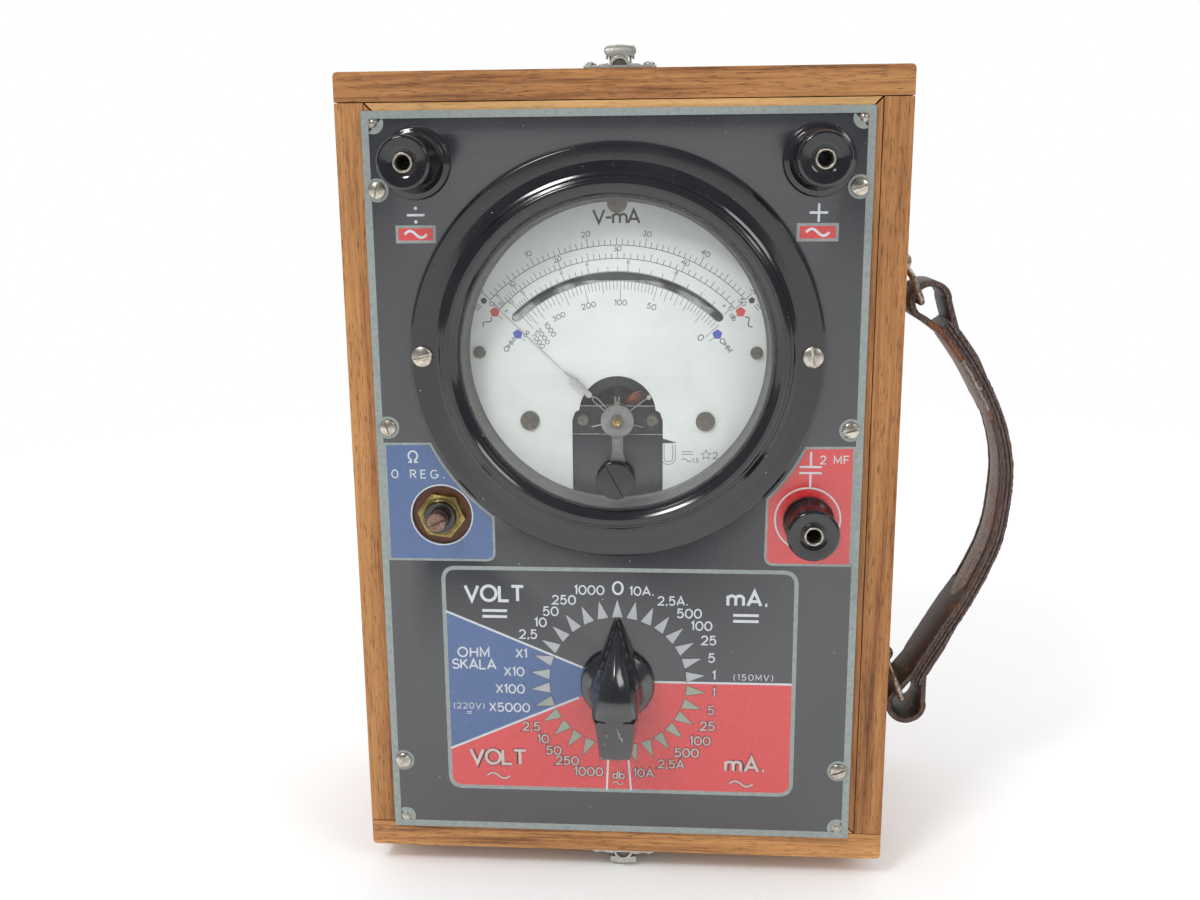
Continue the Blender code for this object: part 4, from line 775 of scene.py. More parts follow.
def makePanelPrints():
    field = fillet([(-72.8, -113.35), (72.8, -113.35), (72.8, 113.35), (-72.8, 113.35)], 0.6, 3)
    pot = circle(9.5, (-55.2, -7.4), 48)[::-1]
    shape = newShape()
    put(shape, slab(field, 0.0, 0.05, [circle(56, (0, 43.35), 128)[::-1], pot], 0.02, 2))
    makePiece("panelField", shape, [enamel])

    lobes = newShape()
    for name in [f"panel_screw_{i}" for i in range(1, 7)]:
        x, y, _ = seat(name)
        side = 1 if x > 0 else -1
        put(lobes, sheet([(x + 3.5 * a, y + 3.5 * b) for a, b in circle(1, steps=40)
                          if (x + 3.5 * a) * side < 73.2], 0.07))
    for x, y in rivets:
        put(lobes, sheet([(x + 3.1 * a, y + 3.1 * b) for a, b in circle(1, steps=40)
                          if abs(x + 3.1 * a) < 73.2 and abs(y + 3.1 * b) < 113.8], 0.07))
    for side in (-1, 1):
        outline = plateOutline(side)
        holes = [pot] if side < 0 else []
        put(lobes, sheet(outline, 0.06, holes))
    box = fillet([(label["left"], label["bottom"]), (label["right"], label["bottom"]),
                  (label["right"], label["top"]), (label["left"], label["top"])], label["round"], 8)
    inner = inset(box, label["line"])
    put(lobes, sheet(box, 0.06, [inner[::-1]]))
    makePiece("panelBorders", lobes, [silverPrint], printed=True)

    colours = newShape()
    fills = {side: inset(plateOutline(side), 0.75) for side in (-1, 1)}
    put(colours, sheet(fills[-1], 0.08, [pot]), 0)
    put(colours, sheet(fills[1], 0.08), 1)
    hub = label["hub"]
    topA, topB = label["blueTop"]
    lowA, lowB = label["blueLow"]
    wedge = clipped(inner, [(topB, topA), (lowA, lowB)])
    put(colours, sheet(wedge, 0.075), 0)
    redPart = clipped(redOf(inner, label["redTop"][0]), [(lowB, lowA)])
    put(colours, sheet(redPart, 0.07), 1)
    makePiece("panelColours", colours, [bluePrint, redPrint], printed=True)

    marks = newShape()
    for a, b in (label["blueTop"], label["blueLow"], label["redTop"]):
        put(marks, line([a, b], 0.7, 0.1), 1)
    for a, b in label["notch"]:
        put(marks, line([a, b], 0.6, 0.1), 1)
    for i in range(30):
        degrees = i * 12
        points = [polar(label["toothTip"], degrees, hub)]
        for sign in (-1, 1):
            base = polar(label["toothBase"], degrees, hub)
            across = polar(label["toothHalf"], degrees + 90, (0, 0))
            points.append((base[0] + sign * across[0], base[1] + sign * across[1]))
        area = (points[1][0] - points[0][0]) * (points[2][1] - points[0][1]) - (
            points[2][0] - points[0][0]) * (points[1][1] - points[0][1])
        points = points if area > 0 else points[::-1]
        put(marks, sheet(inset(points, -0.17), 0.105), 2)
        put(marks, sheet(points, 0.12), 6 if 7 < i < 22 else 5)
    for group, finish in (("dark", 1), ("blue", 1), ("red", 0)):
        for text, x, y, height, *width in label[group]:
            heavy = 0.2 if height > 4 else 0.17 if height > 2.5 else 0.13
            span = width[0] if width else None
            if group == "red":
                put(marks, words(text, x, y, height, 0.1, 0, heavy + 0.2 * 2.8 / height, span), 2)
            put(marks, words(text, x, y, height, 0.12, 0, heavy, span), finish)
    for x, y in ((-39.3, -39.9), (40.6, -40.1)):
        put(marks, bars(x, y, 8.0, 0.9, 2.0, 0.12), 1)
    put(marks, bars(-48.6, -74.2, 1.6, 0.25, 0.6, 0.12), 1)
    for x, y, width, height, thick in ((-39.5, -96.4, 7.6, 1.9, 0.6), (40.0, -97.1, 7.6, 1.9, 0.6),
                                       (-0.1, -98.0, 3.4, 0.9, 0.35)):
        put(marks, wave(x, y, width, height, thick + 0.3, 0.11), 2)
        put(marks, wave(x, y, width, height, thick, 0.12), 0)
    put(marks, words("Ω", -63.7, 11.4, 3.5, 0.12, 0, 0.15), 1)
    put(marks, words("0 REG.", -62.3, 5.8, 2.5, 0.12, 0, 0.15, 17.0), 1)
    put(marks, line(circle(9.75, (-55.2, -7.4), 64), 0.4, 0.12, True), 1)
    symbol = {"x": 59.4, "wide": 6.8, "thick": 0.6, "top": 13.9, "bars": (9.15, 7.25), "foot": 2.6}
    x, half = symbol["x"], symbol["wide"] / 2
    put(marks, line([(x, symbol["top"]), (x, symbol["bars"][0])], symbol["thick"], 0.12), 1)
    put(marks, line([(x, symbol["bars"][1]), (x, symbol["foot"])], symbol["thick"], 0.12), 1)
    for y in symbol["bars"]:
        put(marks, line([(x - half, y), (x + half, y)], symbol["thick"], 0.124), 1)
    put(marks, words("2 MF", 66.5, 11.4, 2.4, 0.12, 0, 0.15, 8.9), 1)
    put(marks, line(circle(10.0, (58.9, -7.5), 64), 0.5, 0.12, True), 1)
    for x, sign in ((-59.7, -1), (59.5, 1)):
        put(marks, line([(x - 2.65, 85.4), (x + 2.65, 85.4)], 0.7, 0.12), 1)
        if sign > 0:
            put(marks, line([(x, 82.75), (x, 88.05)], 0.7, 0.124), 1)
        else:
            for y in (83.4, 87.4):
                put(marks, sheet(circle(0.5, (x, y), 20), 0.12), 1)
        middle = x - 0.2
        frameBox = [(middle - 6.1, 77.1), (middle + 6.1, 77.1), (middle + 6.1, 82.4), (middle - 6.1, 82.4)]
        put(marks, sheet(frameBox, 0.1), 3)
        put(marks, sheet(inset(frameBox, 0.85), 0.11), 4)
        put(marks, wave(middle, 79.75, 6.8, 2.0, 0.75, 0.13), 1)
    makePiece("panelMarks", marks, [palePrint, whitePrint, darkPrint, silverPrint, redPrint, toothPrint,
                                    toothRed], printed=True)


# The lower part of the label under the level line on the right and the hub
def redOf(inner, redStart):
    level = redStart[1]
    left = min(p[0] for p in inner)
    right = max(p[0] for p in inner)
    bottom = [p for p in inner if p[1] < level]
    first = [p for p in bottom if p[0] < 0]
    second = [p for p in bottom if p[0] >= 0]
    first.sort(key=lambda p: (-p[1], p[0]))
    second.sort(key=lambda p: (p[1], p[0]))
    return [(left, level), *first, *second, (right, level)]


# A node's name as a piece's name
def camel(name):
    first, *rest = name.split("_")
    return first + "".join(word.capitalize() for word in rest)


def seat(name):
    low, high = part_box(name)
    middle = ((low + high) / 2 - panelOrigin) * 1000
    return middle.x, middle.z, (panelOrigin.y - low.y) * 1000


rivets = ((-71.4, 112.0), (71.6, 112.0), (-71.0, -111.9), (71.3, -111.9))
makePanelPrints()
print("panel prints made")


# Screws

def makeScrews():
    turns = {"panel_screw_1": 74, "panel_screw_2": 20, "panel_screw_3": 104, "panel_screw_4": 15,
             "panel_screw_5": 45, "panel_screw_6": 22, "meter_screw_left": 12, "meter_screw_right": 100}
    for name, turn in turns.items():
        low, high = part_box(name)
        x, y, top = seat(name)
        radius = (high.x - low.x) / 2 * 1000
        flat = name.startswith("panel")
        base = 0.05 if flat else 3.3
        shape = newShape()
        put(shape, slottedHead(radius, base, top, (top - base) * 0.55, radius * 0.24, radius * 0.25, turn,
                               (x, y)))
        put(shape, lathe([(radius * 0.55, base - 3), (radius * 0.55, base), (radius, base)], 32, (x, y)))
        makePiece(camel(name), shape, [nickel], replaces=[name], sharp=30)
    for i, (x, y) in enumerate(rivets):
        shape = newShape()
        dome = [(1.15, 0.06), (1.12, 0.3), (0.95, 0.52), (0.6, 0.68), (0.25, 0.74), (0.0, 0.75)]
        put(shape, lathe([(1.5, 0.06), (1.5, 0.12), (1.2, 0.14), *dome], 28, (x, y)))
        makePiece(f"cornerRivet{i + 1}", shape, [nickel])


makeScrews()
print("screws made")


# Meter

meter = {
    "centre": (0.0, 43.35), "pivot": (0.0, 22.05), "face": -6.1, "dialRadius": 46.2, "dialThick": 0.8,
    "windowHalf": 14.1, "windowShoulder": 21.6, "archRadius": 11.95,
    "archCentre": 24.15, "rest": 46.0,
}


def makeBezel():
    profile = fillet([
        (50.0, 0.3), (62.2, 0.3), (62.7, 0.8), (62.7, 2.7), (61.9, 3.35), (57.5, 3.2), (54.6, 3.3),
        (53.4, 3.9), (53.0, 5.0), (52.2, 5.3), (51.9, 6.3), (51.0, 6.6), (49.9, 6.55), (49.2, 6.0),
        (48.3, 5.5), (47.6, 4.75), (47.6, 4.45), (50.0, 4.45),
    ], [0, 0.3, 0.3, 0.5, 0.7, 2, 1.5, 0.6, 0.35, 0.25, 0.5, 0.5, 0.4, 0.4, 0.3, 0.15, 0, 0], 5)
    shape = newShape()
    put(shape, lathe([*profile, profile[0]], 192, meter["centre"]))
    makePiece("meterBezel", shape, [bakelite], replaces=["meter_bezel"], sharp=50)
    throat = newShape()
    wall = [(46.75, 2.3), (46.7, 1.8), (46.3, -5.6), (45.9, -5.9), (45.6, -6.05), (46.6, -6.05), (46.75, 2.3)]
    put(throat, lathe(wall, 160, meter["centre"]))
    makePiece("meterThroat", throat, [throatGrey])


def dialOutline():
    half, centre = meter["windowHalf"], meter["centre"]
    drop = math.degrees(math.asin(half / meter["dialRadius"]))
    rim = arc(meter["dialRadius"], -90 + drop, 270 - drop, centre, 150)
    shoulder = meter["windowShoulder"]
    lift = 6.0
    arch = arc(meter["archRadius"], 180 - lift, lift, (0, meter["archCentre"]), 40)
    step = [(-half, rim[-1][1]), (-half, shoulder + 0.6), (-half + 0.9, shoulder + 3.2), arch[0]]
    left = fillet(step, 3.0, 6, False)[1:-1]
    right = [(-x, y) for x, y in left]
    return [*rim, *left, *arch, *right[::-1]]


acPlaces = [(0, 0.0), (5, 0.03), (10, 0.098), (15, 0.185), (20, 0.284), (30, 0.503), (40, 0.752), (50, 1.0)]
decibels = [(-10, 0.05), (-5, 0.11), (0, 0.225), (2, 0.28), (4, 0.385), (6, 0.545), (8, 0.735), (10, 0.985)]
ohms = [(0, 1.0), (10, 0.91), (20, 0.83), (50, 0.68), (100, 0.518), (200, 0.355), (300, 0.26), (1000, 0.12),
        (2000, 0.075), (7000, 0.045)]


def share(table, value):
    for (a, p), (b, q) in zip(table, table[1:]):
        if min(a, b) <= value <= max(a, b):
            return p + (q - p) * (value - a) / (b - a)
    return table[-1][1]


def makeDial():
    face, pivot = meter["face"], meter["pivot"]
    outline = dialOutline()
    shape = newShape()
    put(shape, slab(outline, face - meter["dialThick"], face, (), 0.12, 2), 0)
    for x, y, radius, turn in ((0.26, 88.5, 3.0, 90), (-27.3, 22.05, 3.0, 128), (27.3, 22.05, 3.0, 84),
                               (-42.6, 43.45, 1.9, 30), (42.6, 43.45, 1.9, 8)):
        put(shape, slottedHead(radius, face, face + 0.9, 0.12, radius * 0.2, 0.45, turn, (x, y), 0.15), 1)
    makePiece("dialPlate", shape, [dialPaint, dullNickel], replaces=["dial_plate"],
              sharp=30)

    band = [polar(46.0, d, pivot) for d in spread(-44, 44, 60)]
    band += [polar(44.7 + 1.3 * math.cos(t), 44 + math.degrees(1.3 * math.sin(t) / 44.7), pivot)
             for t in spread(0.3, math.pi - 0.3, 8)]
    band += [polar(43.4, d, pivot) for d in spread(44, -44, 60)]
    band += [polar(44.7 - 1.3 * math.cos(t), -44 - math.degrees(1.3 * math.sin(t) / 44.7), pivot)
             for t in spread(0.3, math.pi - 0.3, 8)]
    mirror = newShape()
    put(mirror, slab(band[::-1], face - 0.02, face + 0.06, (), 0.03, 2))
    makePiece("dialMirror", mirror, [mirrorPaintedReflections], replaces=["dial_mirror"])

    ink = newShape()
    level = face + 0.03

    def angleOf(part):
        return -46 + 92 * part

    def tick(radius, length, degrees, width=0.16):
        put(ink, line([polar(radius, degrees, pivot), polar(radius + length, degrees, pivot)], width, level))

    def ringLine(radius, start, end, width=0.18):
        put(ink, line([polar(radius, d, pivot) for d in spread(start, end, 90)], width, level))

    def number(text, radius, degrees, height, turn=None, finish=0):
        x, y = polar(radius, degrees, pivot)
        put(ink, words(text, x, y, height, level, -degrees if turn is None else turn, 0.13), finish)

    ringLine(54.0, -46, 46)
    ringLine(50.0, -46, 46)
    ringLine(46.15, -44, 44, 0.12)
    ringLine(43.25, -44, 44, 0.12)
    for i in range(51):
        degrees = angleOf(i / 50)
        tick(54.0, 2.9 if i % 10 == 0 else 2.3 if i % 5 == 0 else 1.7, degrees)
        if i % 10 == 0:
            number(str(i), 58.0, degrees, 1.5)
        part = angleOf(share(acPlaces, i))
        if i == 0 or i >= 2:
            tick(50.0, 2.9 if i % 10 == 0 else 2.2 if i % 5 == 0 else 1.6, part)
        if i in (0, 5, 10, 20, 30, 40, 50):
            number(str(i), 52.9 if i % 10 == 0 else 53.2, part - (0 if i else 0.6), 1.4 if i % 10 == 0 else 1.1)
    for i in range(-20, 21):
        value = i / 2
        if value < 2 and i % 2:
            continue
        degrees = angleOf(share(decibels, value))
        tick(46.15, 2.3 if value in (2, 4, 6, 8, 10, -10, -5) else 1.4, degrees, 0.14)
    for value, text in ((-10, "10"), (-5, "5"), (2, "2"), (4, "4"), (6, "6"), (8, "8"), (10, "10")):
        number(text, 49.1, angleOf(share(decibels, value)), 1.15)
    number("-", 48.3, -44.8, 2.2)
    number("+", 48.3, 42.4, 1.4)
    number("db", 47.9, 47.6, 1.5, -60)
    for value in [0, 2, 4, 6, 8, 10, 12, 14, 16, 18, 20, 25, 30, 35, 40, 45, 50, *range(55, 105, 5),
                  *range(110, 210, 10), *range(220, 320, 20), 400, 500, 600, 700, 800, 900, 1000, 1500,
                  2000, 4000, 7000]:
        degrees = angleOf(share(ohms, value))
        length = 5.6 if value in (0, 100, 200) else 4.6 if value in (50, 300, 1000, 2000, 7000, 10) else 2.6
        if value in (20, 30, 40, 150, 500):
            length = 3.6
        tick(43.25, -length, degrees, 0.13)
    for text, x, y, turn, height in (
            ("0", 25.6, 26.0, -45, 1.9), ("50", 10.6, 35.5, -17, 1.6), ("100", 1.2, 36.7, -1, 1.6),
            ("200", -8.6, 35.8, 13, 1.6), ("300", -17.8, 32.4, 25, 1.5), ("1000", -20.6, 28.5, -54, 1.45),
            ("2000", -22.7, 26.4, -55, 1.45), ("7000", -24.3, 25.0, -54, 1.45)):
        put(ink, words(text, x, y + pivot[1], height, level, turn, 0.13), 0)
    loop = [(1.0 * math.cos(t) / (1 + math.sin(t) ** 2), 1.5 * math.sin(t) * math.cos(t) / (1 + math.sin(t) ** 2))
            for t in spread(0, math.tau, 32)]
    spin = Matrix.Rotation(math.radians(46), 2)
    x, y = polar(38.9, -45.8, pivot)
    put(ink, line([tuple(spin @ Vector(p) + Vector((x, y))) for p in loop], 0.2, level))

    for side in (-1, 1):
        for radius, degrees, size, finish, sign, offset in ((55.3, 47.6, 1.05, 0, "=", 2.8),
                                                            (50.5, 48.0, 1.6, 2, "~", 4.4),
                                                            (40.8, 48.6, 1.6, 1, "OHM", 5.9)):
            x, y = polar(radius, side * degrees, pivot)
            points = [(x + p[0], y + p[1]) for p in
                      circle(size, (0, 0), 5, math.radians(162 if side < 0 else 18))]
            put(ink, sheet(points, level), finish)
            inward = polar(1, side * degrees)
            if finish:
                put(ink, line([(x - inward[0] * size, y - inward[1] * size),
                               (x - inward[0] * (size + 1.6), y - inward[1] * (size + 1.6))], 0.14, level), 0)
            x, y = polar(radius, side * (degrees + offset), pivot)
            turn = -side * 52
            if sign == "=":
                put(ink, bars(x, y, 2.0, 0.22, 0.8, level, turn), 0)
            elif sign == "~":
                put(ink, wave(x, y, 3.9, 1.5, 0.32, level, turn), 0)
            else:
                put(ink, words(sign, x, y, 1.5, level, turn, 0.16, 4.9), 0)
    put(ink, words("V-mA", 0.0, 84.5, 3.9, level, 0, 0.17, 13.2), 0)
    for radius in (1.35, 2.15):
        legs = [(15.9 - radius, 14.6), (15.9 - radius, 11.0), *arc(radius, 180, 360, (15.9, 10.4), 12)[1:],
                (15.9 + radius, 14.6)]
        put(ink, line(legs, 0.16, level), 0)
    put(ink, sheet(fillet([(13.9, 15.0), (18.6, 15.2), (14.0, 16.6)], 0, 1), level), 0)
    put(ink, bars(21.8, 12.0, 3.4, 0.18, 0.8, level), 0)
    put(ink, wave(21.6, 9.7, 3.0, 1.0, 0.2, level), 0)
    put(ink, words("1,5", 24.3, 9.6, 1.2, level, 0, 0.13), 0)
    star = []
    for i in range(10):
        radius = 1.6 if i % 2 == 0 else 0.7
        star.append(polar(radius, i * 36, (27.6, 11.4)))
    put(ink, line(star, 0.16, level, True), 0)
    put(ink, words("2", 30.4, 11.2, 2.0, level, 0, 0.12), 0)
    makePiece("dialScales", ink, [inkPrint, blueInk, redInk], printed=True)


def spread(start, end, steps):
    return [start + (end - start) * i / steps for i in range(steps + 1)]


def makePointer():
    pivot, rest = meter["pivot"], -meter["rest"]
    level = -4.8
    shape = newShape()
    blade = [polar(22.0, rest - 0.35, pivot), polar(51.3, rest - 0.22, pivot), polar(51.9, rest, pivot),
             polar(51.3, rest + 0.22, pivot), polar(22.0, rest + 0.35, pivot)]
    put(shape, slab(blade[::-1], level - 0.1, level + 0.1, (), 0.06, 2))
    paddle = []
    for along, half in ((11.2, 0.4), (11.7, 0.95), (17.5, 1.0), (17.9, 1.25), (18.5, 1.25), (18.9, 0.75),
                        (19.4, 0.6),
                        (22.4, 0.3)):
        paddle.append((along, half))
    ring = []
    for along, half in paddle:
        ring.append((along, half))
    ring += [(along, -half) for along, half in reversed(paddle)]
    out = Vector(polar(1, rest))
    across = Vector((out.y, -out.x))
    outline = [tuple(Vector(pivot) + out * a + across * b) for a, b in ring]
    area = sum(a[0] * b[1] - b[0] * a[1] for a, b in zip(outline, outline[1:] + outline[:1]))
    put(shape, slab(outline if area > 0 else outline[::-1], level - 0.18, level + 0.16, (), 0.1, 2))
    low = -6.32
    for degrees, aim in ((rest - 9, rest), (rest + 9, rest), (52, 52)):
        path = [(*polar(2.0, degrees, pivot), low), (*polar(9.6, (degrees + aim) / 2, pivot), low),
                (*polar(11.0, aim, pivot), low + 0.3), (*polar(12.4, aim, pivot), level)]
        put(shape, rod(path, 0.14, sides=10))
    for degrees in (-104, 104):
        put(shape, rod([(*polar(2.0, degrees, pivot), low), (*polar(8.2, degrees, pivot), low)], 0.14,
                       sides=10))
    x, y = polar(12.4, 52, pivot)
    put(shape, lathe([(0.0, level - 0.7), (0.6, level - 0.7), (0.75, level - 0.4), (0.75, level + 0.3),
                      (0.55, level + 0.5), (0.0, level + 0.5)], 20, (x, y)))
    put(shape, lathe([(0.0, -12.8), (0.7, -12.8), (0.7, -6.6), (2.4, -6.6), (2.5, -6.4), (2.4, -6.2),
                      (0.0, -6.2)],
                     32, pivot))
    makePiece("pointerNeedle", shape, [needleMetal], body="movement", replaces=["pointer"])
    jewel = newShape()
    put(jewel, lathe([(0.0, -4.9), (1.4, -4.9), (1.45, -4.4), (1.3, -4.1), (0.95, -4.0), (0.7, -4.15),
                      (0.4, -4.5),
                      (0.0, -4.55)], 32, pivot))
    makePiece("pivotJewel", jewel, [brass], body="zero_arm")


# What shows through the opening of the dial: black cover, the bridge with nickel rods along its edges as painted
# highlights, and its screws
def makeWindow():
    x, y = meter["pivot"]
    cover = newShape()
    put(cover, slab([(-16, -2.2), (16, -2.2), (16, y - 4.9), (-16, y - 4.9)], -7.7, -7.2, (), 0.15, 2))
    makePiece("windowCover", cover, [coverBlack])
    bridge = newShape()
    # Nickel rods along the dark steel bridge stand in for the highlights on its edges: painted highlights
    for sign in (-1, 1):
        put(bridge, rod([(-16.5, y + sign * 4.5, -7.46), (16.5, y + sign * 4.5, -7.46)], 0.17, sides=8))
    put(bridge, slab([(-15.5, y - 4.2), (15.5, y - 4.2), (15.5, y + 4.2), (-15.5, y + 4.2)], -7.52, -7.42,
                     [circle(1.2, (x, y), 32)[::-1]], 0.04, 1), 1)
    makePiece("bridgeWithEdgeHighlights", bridge, [nickel, darkSteel])
    for name, side, turn in (("bridgeScrewLeft", -1, 60), ("bridgeScrewRight", 1, 20)):
        head = newShape()
        put(head, slottedHead(2.0, -7.4, -6.62, 0.12, 0.4, 0.4, turn, (side * 11.0, y), 0.25))
        put(head, slottedHead(2.0, -7.4, -6.63, 0.12, 0.4, 0.4, turn + 90, (side * 11.0, y), 0.25))
        makePiece(name, head, [dullNickel])
    lug = newShape()
    foot, notch, tip, half, slit = y + 4.8, y + 6.2, y + 7.7, 0.85, 0.3
    put(lug, slab([(x - half, foot), (x + half, foot), (x + half, tip), (x + slit, tip),
                   (x + slit, notch), (x - slit, notch), (x - slit, tip), (x - half, tip)],
                  -5.9, -5.0, (), 0.12, 2))
    put(lug, lathe([(2.3, -4.72), (4.7, -4.72), (4.95, -4.62), (4.7, -4.56), (2.3, -4.56)], 64, (x, y)))
    makePiece("zeroLug", lug, [steel], body="zero_arm")
    coilEnds = newShape()
    for a, b in (((3.2, 6.6), (7.4, 8.9)), ((3.8, 5.4), (8.4, 7.9)), ((5.0, 8.6), (8.2, 5.6))):
        middle = (x + (a[0] + b[0]) / 2, y + (a[1] + b[1]) / 2 + 0.9, -8.0)
        bend = curveThrough([(x + a[0], y + a[1], -8.4), middle, (x + b[0], y + b[1], -8.4)], 8)
        put(coilEnds, rod(bend, 0.22, sides=8))
    makePiece("coilLeads", coilEnds, [copper])


zeroPin = 1.6


def makeZeroScrew():
    x, y, _ = seat("zero_screw")
    shape = newShape()
    put(shape, slottedHead(6.0, 4.6, 6.5, 0.35, 1.25, 1.0, 118, (x, y), 0.5, 9, 24))
    put(shape, lathe([(2.6, 2.2), (2.6, 4.6), (6.0, 4.6)], 48, (x, y)))
    put(shape, lathe([(0.0, -6.1), (0.5, -6.1), (0.6, -6.0), (0.6, 2.3), (0.0, 2.3)], 20, (x, y + zeroPin)))
    put(shape, lathe([(0.0, 2.2), (2.6, 2.2)], 48, (x, y)))
    makePiece("zeroScrew", shape, [bakelite], body="zero_adjuster",
              replaces=["zero_screw"])


makeBezel()
makeDial()
makePointer()
makeWindow()
makeZeroScrew()
print("meter made")


# Range knob

knob = {
    # along the knob, foot half width, edge half width, edge height, crest height
    "stations": [
        (22.0, 0.6, 0.35, 1.7, 2.2), (20.0, 1.6, 1.15, 3.4, 5.0), (17.0, 2.8, 2.25, 5.8, 8.8),
        (13.0, 4.3, 3.65, 8.4, 12.8),
        (9.0, 5.7, 5.0, 10.8, 16.2), (5.0, 6.9, 6.1, 13.0, 18.6), (1.0, 7.6, 6.85, 14.8, 19.7),
        (-2.6, 7.7, 7.0, 16.2, 20.0),
        (-4.7, 7.6, 6.9, 16.8, 19.9), (-5.3, 7.45, 5.95, 19.45, 19.5), (-12.0, 6.5, 5.4, 16.85, 16.9),
        (-19.2, 5.4, 4.8, 14.0, 14.05), (-20.4, 5.0, 4.2, 13.3, 13.4),
    ],
    "skirt": [(0, 0.6), (11.7, 0.6), (11.9, 1.2), (11.8, 2.6), (11.2, 3.6), (9.6, 4.6), (8.2, 6.0),
              (7.0, 8.6), (0, 9.0)],
    "edge": 0.28,
}


def makeKnob():
    hub = label["hub"]
    verts, faces = [], []
    rows = 0
    for y, foot, edge, low, high in knob["stations"]:
        half = [(foot, 0.6), (foot * 0.9 + edge * 0.1, low * 0.5), (edge + 0.12, low - 0.25), (edge, low),
                (edge * 0.75, low * 0.42 + high * 0.58), (edge * 0.42, low * 0.14 + high * 0.86)]
        ring = [*half, (0.0, high), *[(-a, b) for a, b in reversed(half)]]
        rows = len(ring)
        verts += [(hub[0] + a, hub[1] + y, b) for a, b in ring]
    for i in range(len(knob["stations"]) - 1):
        for j in range(rows):
            k = (j + 1) % rows
            faces.append((i * rows + j, i * rows + k, (i + 1) * rows + k, (i + 1) * rows + j))
    faces.append(tuple(reversed(range(rows))))
    faces.append(tuple((len(knob["stations"]) - 1) * rows + j for j in range(rows)))
    grip = newShape()
    put(grip, (verts, faces))
    skirt = newShape()
    profile = fillet(knob["skirt"], [0, 0.15, 0.3, 0.6, 1.2, 2, 2, 1.5, 0], 5)
    put(skirt, lathe(profile, 128, hub))
    piece = makePiece("rangeKnob", grip, [knobBlack], body="range_switch",
                      replaces=["range_knob"],
                      sharp=32)
    soften = piece.modifiers.new("softEdge", "BEVEL")
    soften.width = knob["edge"] * mm
    soften.segments = 3
    soften.limit_method = "ANGLE"
    soften.angle_limit = math.radians(26)
    makePiece("knobSkirt", skirt, [knobBlack], body="range_switch", sharp=40)
    scratches = newShape()
    slope = (19.45 - 14.0) / (19.2 - 5.3)
    for points in (((1.0, -8.6), (1.5, -9.6), (1.3, -10.4), (1.9, -11.3), (2.3, -12.6)),
                   ((0.8, -7.7), (1.0, -8.0)),
                   ((-2.6, -10.1), (-2.3, -10.3)), ((2.0, -11.2), (2.6, -11.5)),
                   ((-3.4, -14.2), (-3.1, -14.0))):
        path = [(hub[0] + x, hub[1] + y, 19.47 + (y + 5.3) * slope) for x, y in points]
        put(scratches, rod(path, 0.12, sides=6))
    makePiece("knobScratches", scratches, [whitePrint], body="range_switch")


makeKnob()
print("knob made")


# Sockets and the ohm adjuster

def makeSockets():
    for name, small in (("socket_minus", False), ("socket_plus", False), ("socket_capacitor", True)):
        x, y, _ = seat(name)
        if small:
            profile = [(7.9, 0.1), (7.9, 1.2), (7.2, 2.2), (6.3, 4.0), (6.0, 7.0), (6.1, 10.5), (6.6, 13.0),
                       (7.6, 14.6), (7.9, 15.4), (7.85, 16.1), (7.2, 16.8), (4.4, 16.5), (3.6, 16.1),
                       (3.02, 16.0),
                       (3.02, 2.0)]
        else:
            profile = [(10.7, 0.1), (10.7, 0.7), (10.1, 1.3), (8.9, 1.7), (7.9, 3.0), (7.3, 5.6), (7.2, 9.0),
                       (7.35, 12.2), (7.7, 14.6), (7.8, 15.6), (7.75, 16.2), (7.1, 16.8), (4.4, 16.5),
                       (3.6, 16.1),
                       (3.02, 16.0), (3.02, 2.0)]
        radii = [0, *[0.7] * (len(profile) - 4), 0.2, 0, 0]
        shape = newShape()
        put(shape, lathe([(3.02, 0.1), *fillet(profile, radii, 4, False)], 96, (x, y)))
        piece = camel(name)
        makePiece(piece, shape, [bakelite], replaces=[name], sharp=45)
        sleeve = newShape()
        profile = fillet([(2.0, 2.0), (2.0, 16.5), (2.35, 17.15), (2.75, 17.15), (3.0, 16.6), (3.0, 2.0)],
                         [0, 0.3, 0.25, 0.25, 0.3, 0], 4, False)
        put(sleeve, lathe([*profile, profile[0]], 64, (x, y)))
        # The bottom of the bore is dark steel: painted shade deep in the hole
        put(sleeve, lathe([(0.0, 3.0), (2.0, 3.0)], 32, (x, y)), 1)
        makePiece(piece + "Sleeve", sleeve, [nickel, darkSteel], replaces=[name + "_insert"])


def hexReach(angle, flats):
    step = math.radians(60)
    return flats / 2 / math.cos((angle % step) - step / 2)


